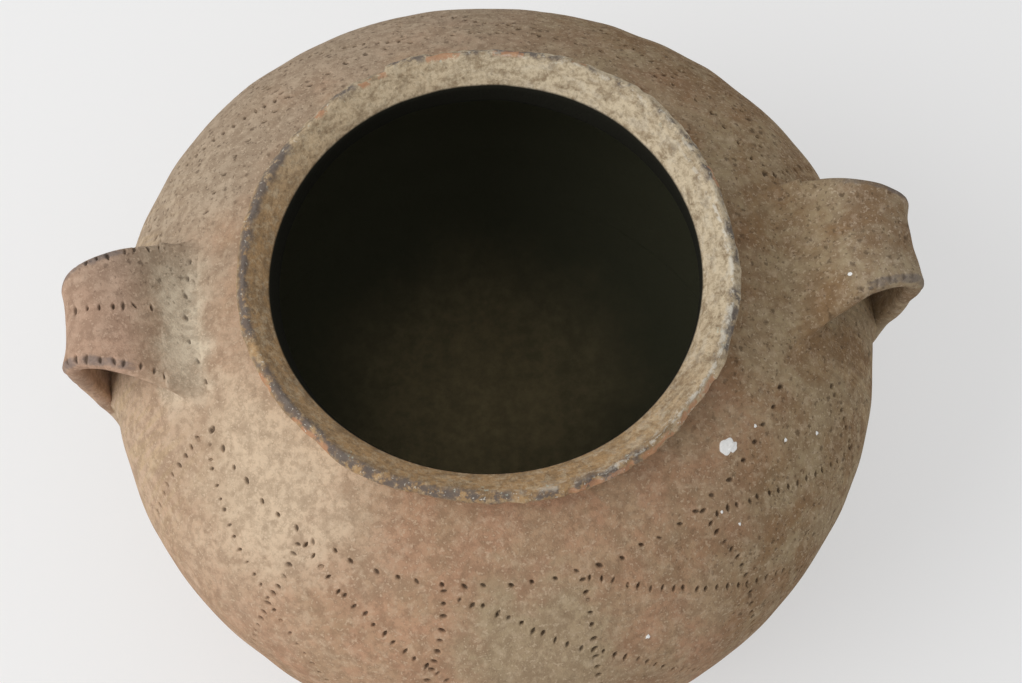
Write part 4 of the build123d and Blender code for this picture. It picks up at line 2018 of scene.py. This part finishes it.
    def marked(self, graph: Graph, colour: Value, height: Value) -> tuple[Value, Value]:
        """Lays the lip's slope over the clay, then soot, flakes, bloom, a painted highlight beaded along the
        crest, green spots and grit.

        Args:
            graph: nodes of the material.
            colour: colour of the clay.
            height: its grain height.

        Returns:
            Colour and grain height.
        """
        where, plain = graph.place(), graph.value("way")
        drawn = graph.ringed(where, self.drum_radius, graph.times(plain, MM))
        lip = graph.step(plain, *self.on_lip)
        stray = graph.sway(where, *self.stray)
        way = graph.plus(plain, stray)
        flakes = graph.times(graph.value("chip"), graph.blots(where, self.crumbs))
        crest = graph.band(graph.plus(way, graph.times(stray, self.crest_sway)), *self.crest_band)
        fair = graph.plus(graph.times(crest, self.crest_share), self.bloom_least)
        fair = graph.times(graph.blots(drawn, self.bloomed), fair, graph.region(where, self.bloom_right))
        # Painted highlight: a pale beaded line along the crest on the sunny side.
        strayed = graph.plus(plain, graph.times(stray, self.ridge_sway))
        ridge = graph.math("SUBTRACT", strayed, graph.region(where, self.ridge_drift))
        ridge = graph.times(graph.band(ridge, 0.0, self.ridge_reach), graph.blots(where, self.beads))
        green = graph.times(graph.blots(where, self.green), graph.band(way, *self.green_band), lip)
        grit = graph.times(graph.blots(where, self.grit), graph.band(way, *self.grit_band), lip)
        for share, laid in (
            (graph.times(lip, self.lip_share), self.sloped(graph, where, drawn)),
            (graph.times(self.sooty_edge(graph, where, way), lip), self.edge),
            (graph.step(flakes, *self.flaked), self.flake),
            (graph.times(fair, lip), self.bloom),
            (graph.times(ridge, graph.region(where, self.sunny)), self.bloom),
            (green, self.verdigris),
            (grit, self.bloom),
        ):
            colour = graph.mix(share, colour, laid)
        crust = graph.times(graph.noise(where, *self.crust), lip, self.crust_height)
        return colour, graph.plus(height, crust)


def looking(place: Array, aim: Array) -> Matrix:
    """Placing of a lamp.

    Args:
        place: where it stands.
        aim: what it shines at.

    Returns:
        Its matrix.
    """
    back = (place - aim) / np.linalg.norm(place - aim)
    right = np.cross(UP, back)
    right /= np.linalg.norm(right)
    return placing(right, np.cross(back, right), back, place)


def placing(right: Array, up: Array, back: Array, place: Array) -> Matrix:
    """Matrix of an object by its three directions and its place."""
    return Matrix([*np.stack([right, up, back, place], axis=1).tolist(), [0.0, 0.0, 0.0, 1.0]])


@dataclass
class Studio:
    """Plain pale floor, a wide soft light from the left, and an even white surround."""

    floor_colour: Triple = (0.88, 0.88, 0.88)
    floor_roughness: float = 0.95
    floor_glow: float = 0.43
    floor_half: float = 12.0
    key_power: float = 42.0
    key_size: float = 2.6
    key_from: Triple = (-2.1, -0.5, 1.7)
    key_aim: Triple = (0.0, 0.0, 0.1)
    surround: float = 0.55
    backdrop: float = 0.82

    def floor(self) -> bpy.types.Object:
        """Adds the floor, which the camera and mirrors see mixed with white.

        Returns:
            The floor.
        """
        grid = np.array([(-1.0, -1.0, 0.0), (1.0, -1.0, 0.0), (1.0, 1.0, 0.0), (-1.0, 1.0, 0.0)])
        mesh = bpy.data.meshes.new("floor")
        mesh.from_pydata((grid * self.floor_half).tolist(), [], [(0, 1, 2, 3)])
        floor = link("floor", mesh)
        material, graph = new_material("pale_floor")
        inputs = {"Base Color": self.floor_colour, "Roughness": self.floor_roughness}
        matte = graph.add("ShaderNodeBsdfPrincipled", inputs).outputs["BSDF"]
        white = graph.add("ShaderNodeEmission").outputs["Emission"]
        path = graph.add("ShaderNodeLightPath").outputs
        seen = graph.math("MAXIMUM", path["Is Camera Ray"], path["Is Glossy Ray"])
        seen = graph.math("MAXIMUM", seen, path["Is Transmission Ray"])
        both = graph.add("ShaderNodeMixShader", {0: graph.times(seen, self.floor_glow), 1: matte, 2: white})
        graph.add("ShaderNodeOutputMaterial", {"Surface": both.outputs["Shader"]})
        mesh.materials.append(material)
        return floor

    def light(self) -> None:
        """Adds the key light and the surround, which the camera sees at the backdrop's own strength."""
        lamp = bpy.data.lights.new("key", "AREA")
        lamp.shape, lamp.size, lamp.energy = "DISK", self.key_size, self.key_power
        link("key", lamp).matrix_world = looking(np.array(self.key_from), np.array(self.key_aim))
        world = bpy.data.worlds.new("surround")
        world.use_nodes = True
        graph = Graph(world.node_tree)
        background = world.node_tree.nodes["Background"].inputs
        background["Color"].default_value = (1.0, 1.0, 1.0, 1.0)
        seen = graph.add("ShaderNodeLightPath").outputs["Is Camera Ray"]
        strength = graph.step(seen, 0.0, 1.0, self.surround, self.backdrop)
        world.node_tree.links.new(strength, background["Strength"])
        bpy.context.scene.world = world


@dataclass
class Viewpoint:
    """Camera of the picture: long lens, looking down into the mouth from in front."""

    width: float = 1022.0
    height: float = 683.0
    focal: float = 3000.0
    distance: float = 1118.6
    elevation: float = 65.56
    azimuth: float = -6.1
    roll: float = 0.12
    aim: Triple = (0.0, 0.0, 190.0)
    aim_pixel: Pair = (488.97, 273.12)
    sensor: float = 36.0
    farthest: float = 20.0

    def camera(self) -> bpy.types.Object:
        """Adds the camera: placed on the line to the mouth, then turned so that the mouth falls on its pixel.

        Returns:
            The camera.
        """
        (ca, sa), (ce, se), (cr, sr) = unit(self.azimuth), unit(self.elevation), unit(self.roll)
        back = np.array([sa * ce, -ca * ce, se])
        level = np.array([ca, sa, 0.0])
        steep = np.cross(back, level)
        right, up, ahead = cr * level - sr * steep, sr * level + cr * steep, -back
        across = np.arctan2(self.aim_pixel[0] - self.width / 2.0, self.focal)
        down = np.arctan2(self.height / 2.0 - self.aim_pixel[1], self.focal)
        (cx, sx), (cy, sy) = unit(np.degrees(across)), unit(np.degrees(down))
        right, ahead = cx * right + sx * ahead, cx * ahead - sx * right
        up, ahead = cy * up + sy * ahead, cy * ahead - sy * up
        lens = bpy.data.cameras.new("viewpoint")
        lens.sensor_fit, lens.sensor_width = "HORIZONTAL", self.sensor
        lens.lens = self.focal / self.width * self.sensor
        lens.clip_end = self.farthest
        camera = link("viewpoint", lens)
        camera.matrix_world = placing(right, up, -ahead, (np.array(self.aim) + back * self.distance) * MM)
        bpy.context.scene.camera = camera
        return camera


def main() -> None:
    """Builds every piece of the pot, the studio and the viewpoint."""
    logging.basicConfig(level=logging.INFO, format="%(name)s: %(message)s")
    shape, hands = PotShape(), HandWork()
    punches = PunchWork(shape)
    groups = {"fired_clay": FiredClay().group(), "weather": Weather().group(), "soot": Soot().group()}
    wall = ClayFinish("wall_clay").material(groups)
    rim = RimFinish("rim_clay").material(groups)
    strap = StrapFinish("strap_clay").material(groups)
    seams = shape.seams().tolist()
    names = [f"lower_wall_coil_{i + 1}" for i in range(shape.lower_rings)]
    names += [f"shoulder_coil_{i + 1}" for i in range(shape.shoulder_rings)]
    pieces = [MouldedBase(shape, hands).dress(wall)]
    for name, low, high in zip(names, seams[:-1], seams[1:]):
        pieces.append(WallRing(shape, hands, punches, name, low, high).dress(wall))
    pieces.append(Rim(shape, hands).dress(rim))
    for side in Side:
        pieces.append(Strap(shape, hands, side).dress(strap))
        for end in End:
            pieces.append(LutingBed(shape, hands, side, end).dress(wall))
    for piece in pieces:
        log.info("%s: %d faces", piece.name, len(piece.data.polygons))
    studio = Studio()
    studio.floor()
    studio.light()
    Viewpoint().camera()
    bpy.context.scene.view_settings.view_transform = "Standard"


if __name__ == "__main__":
    main()
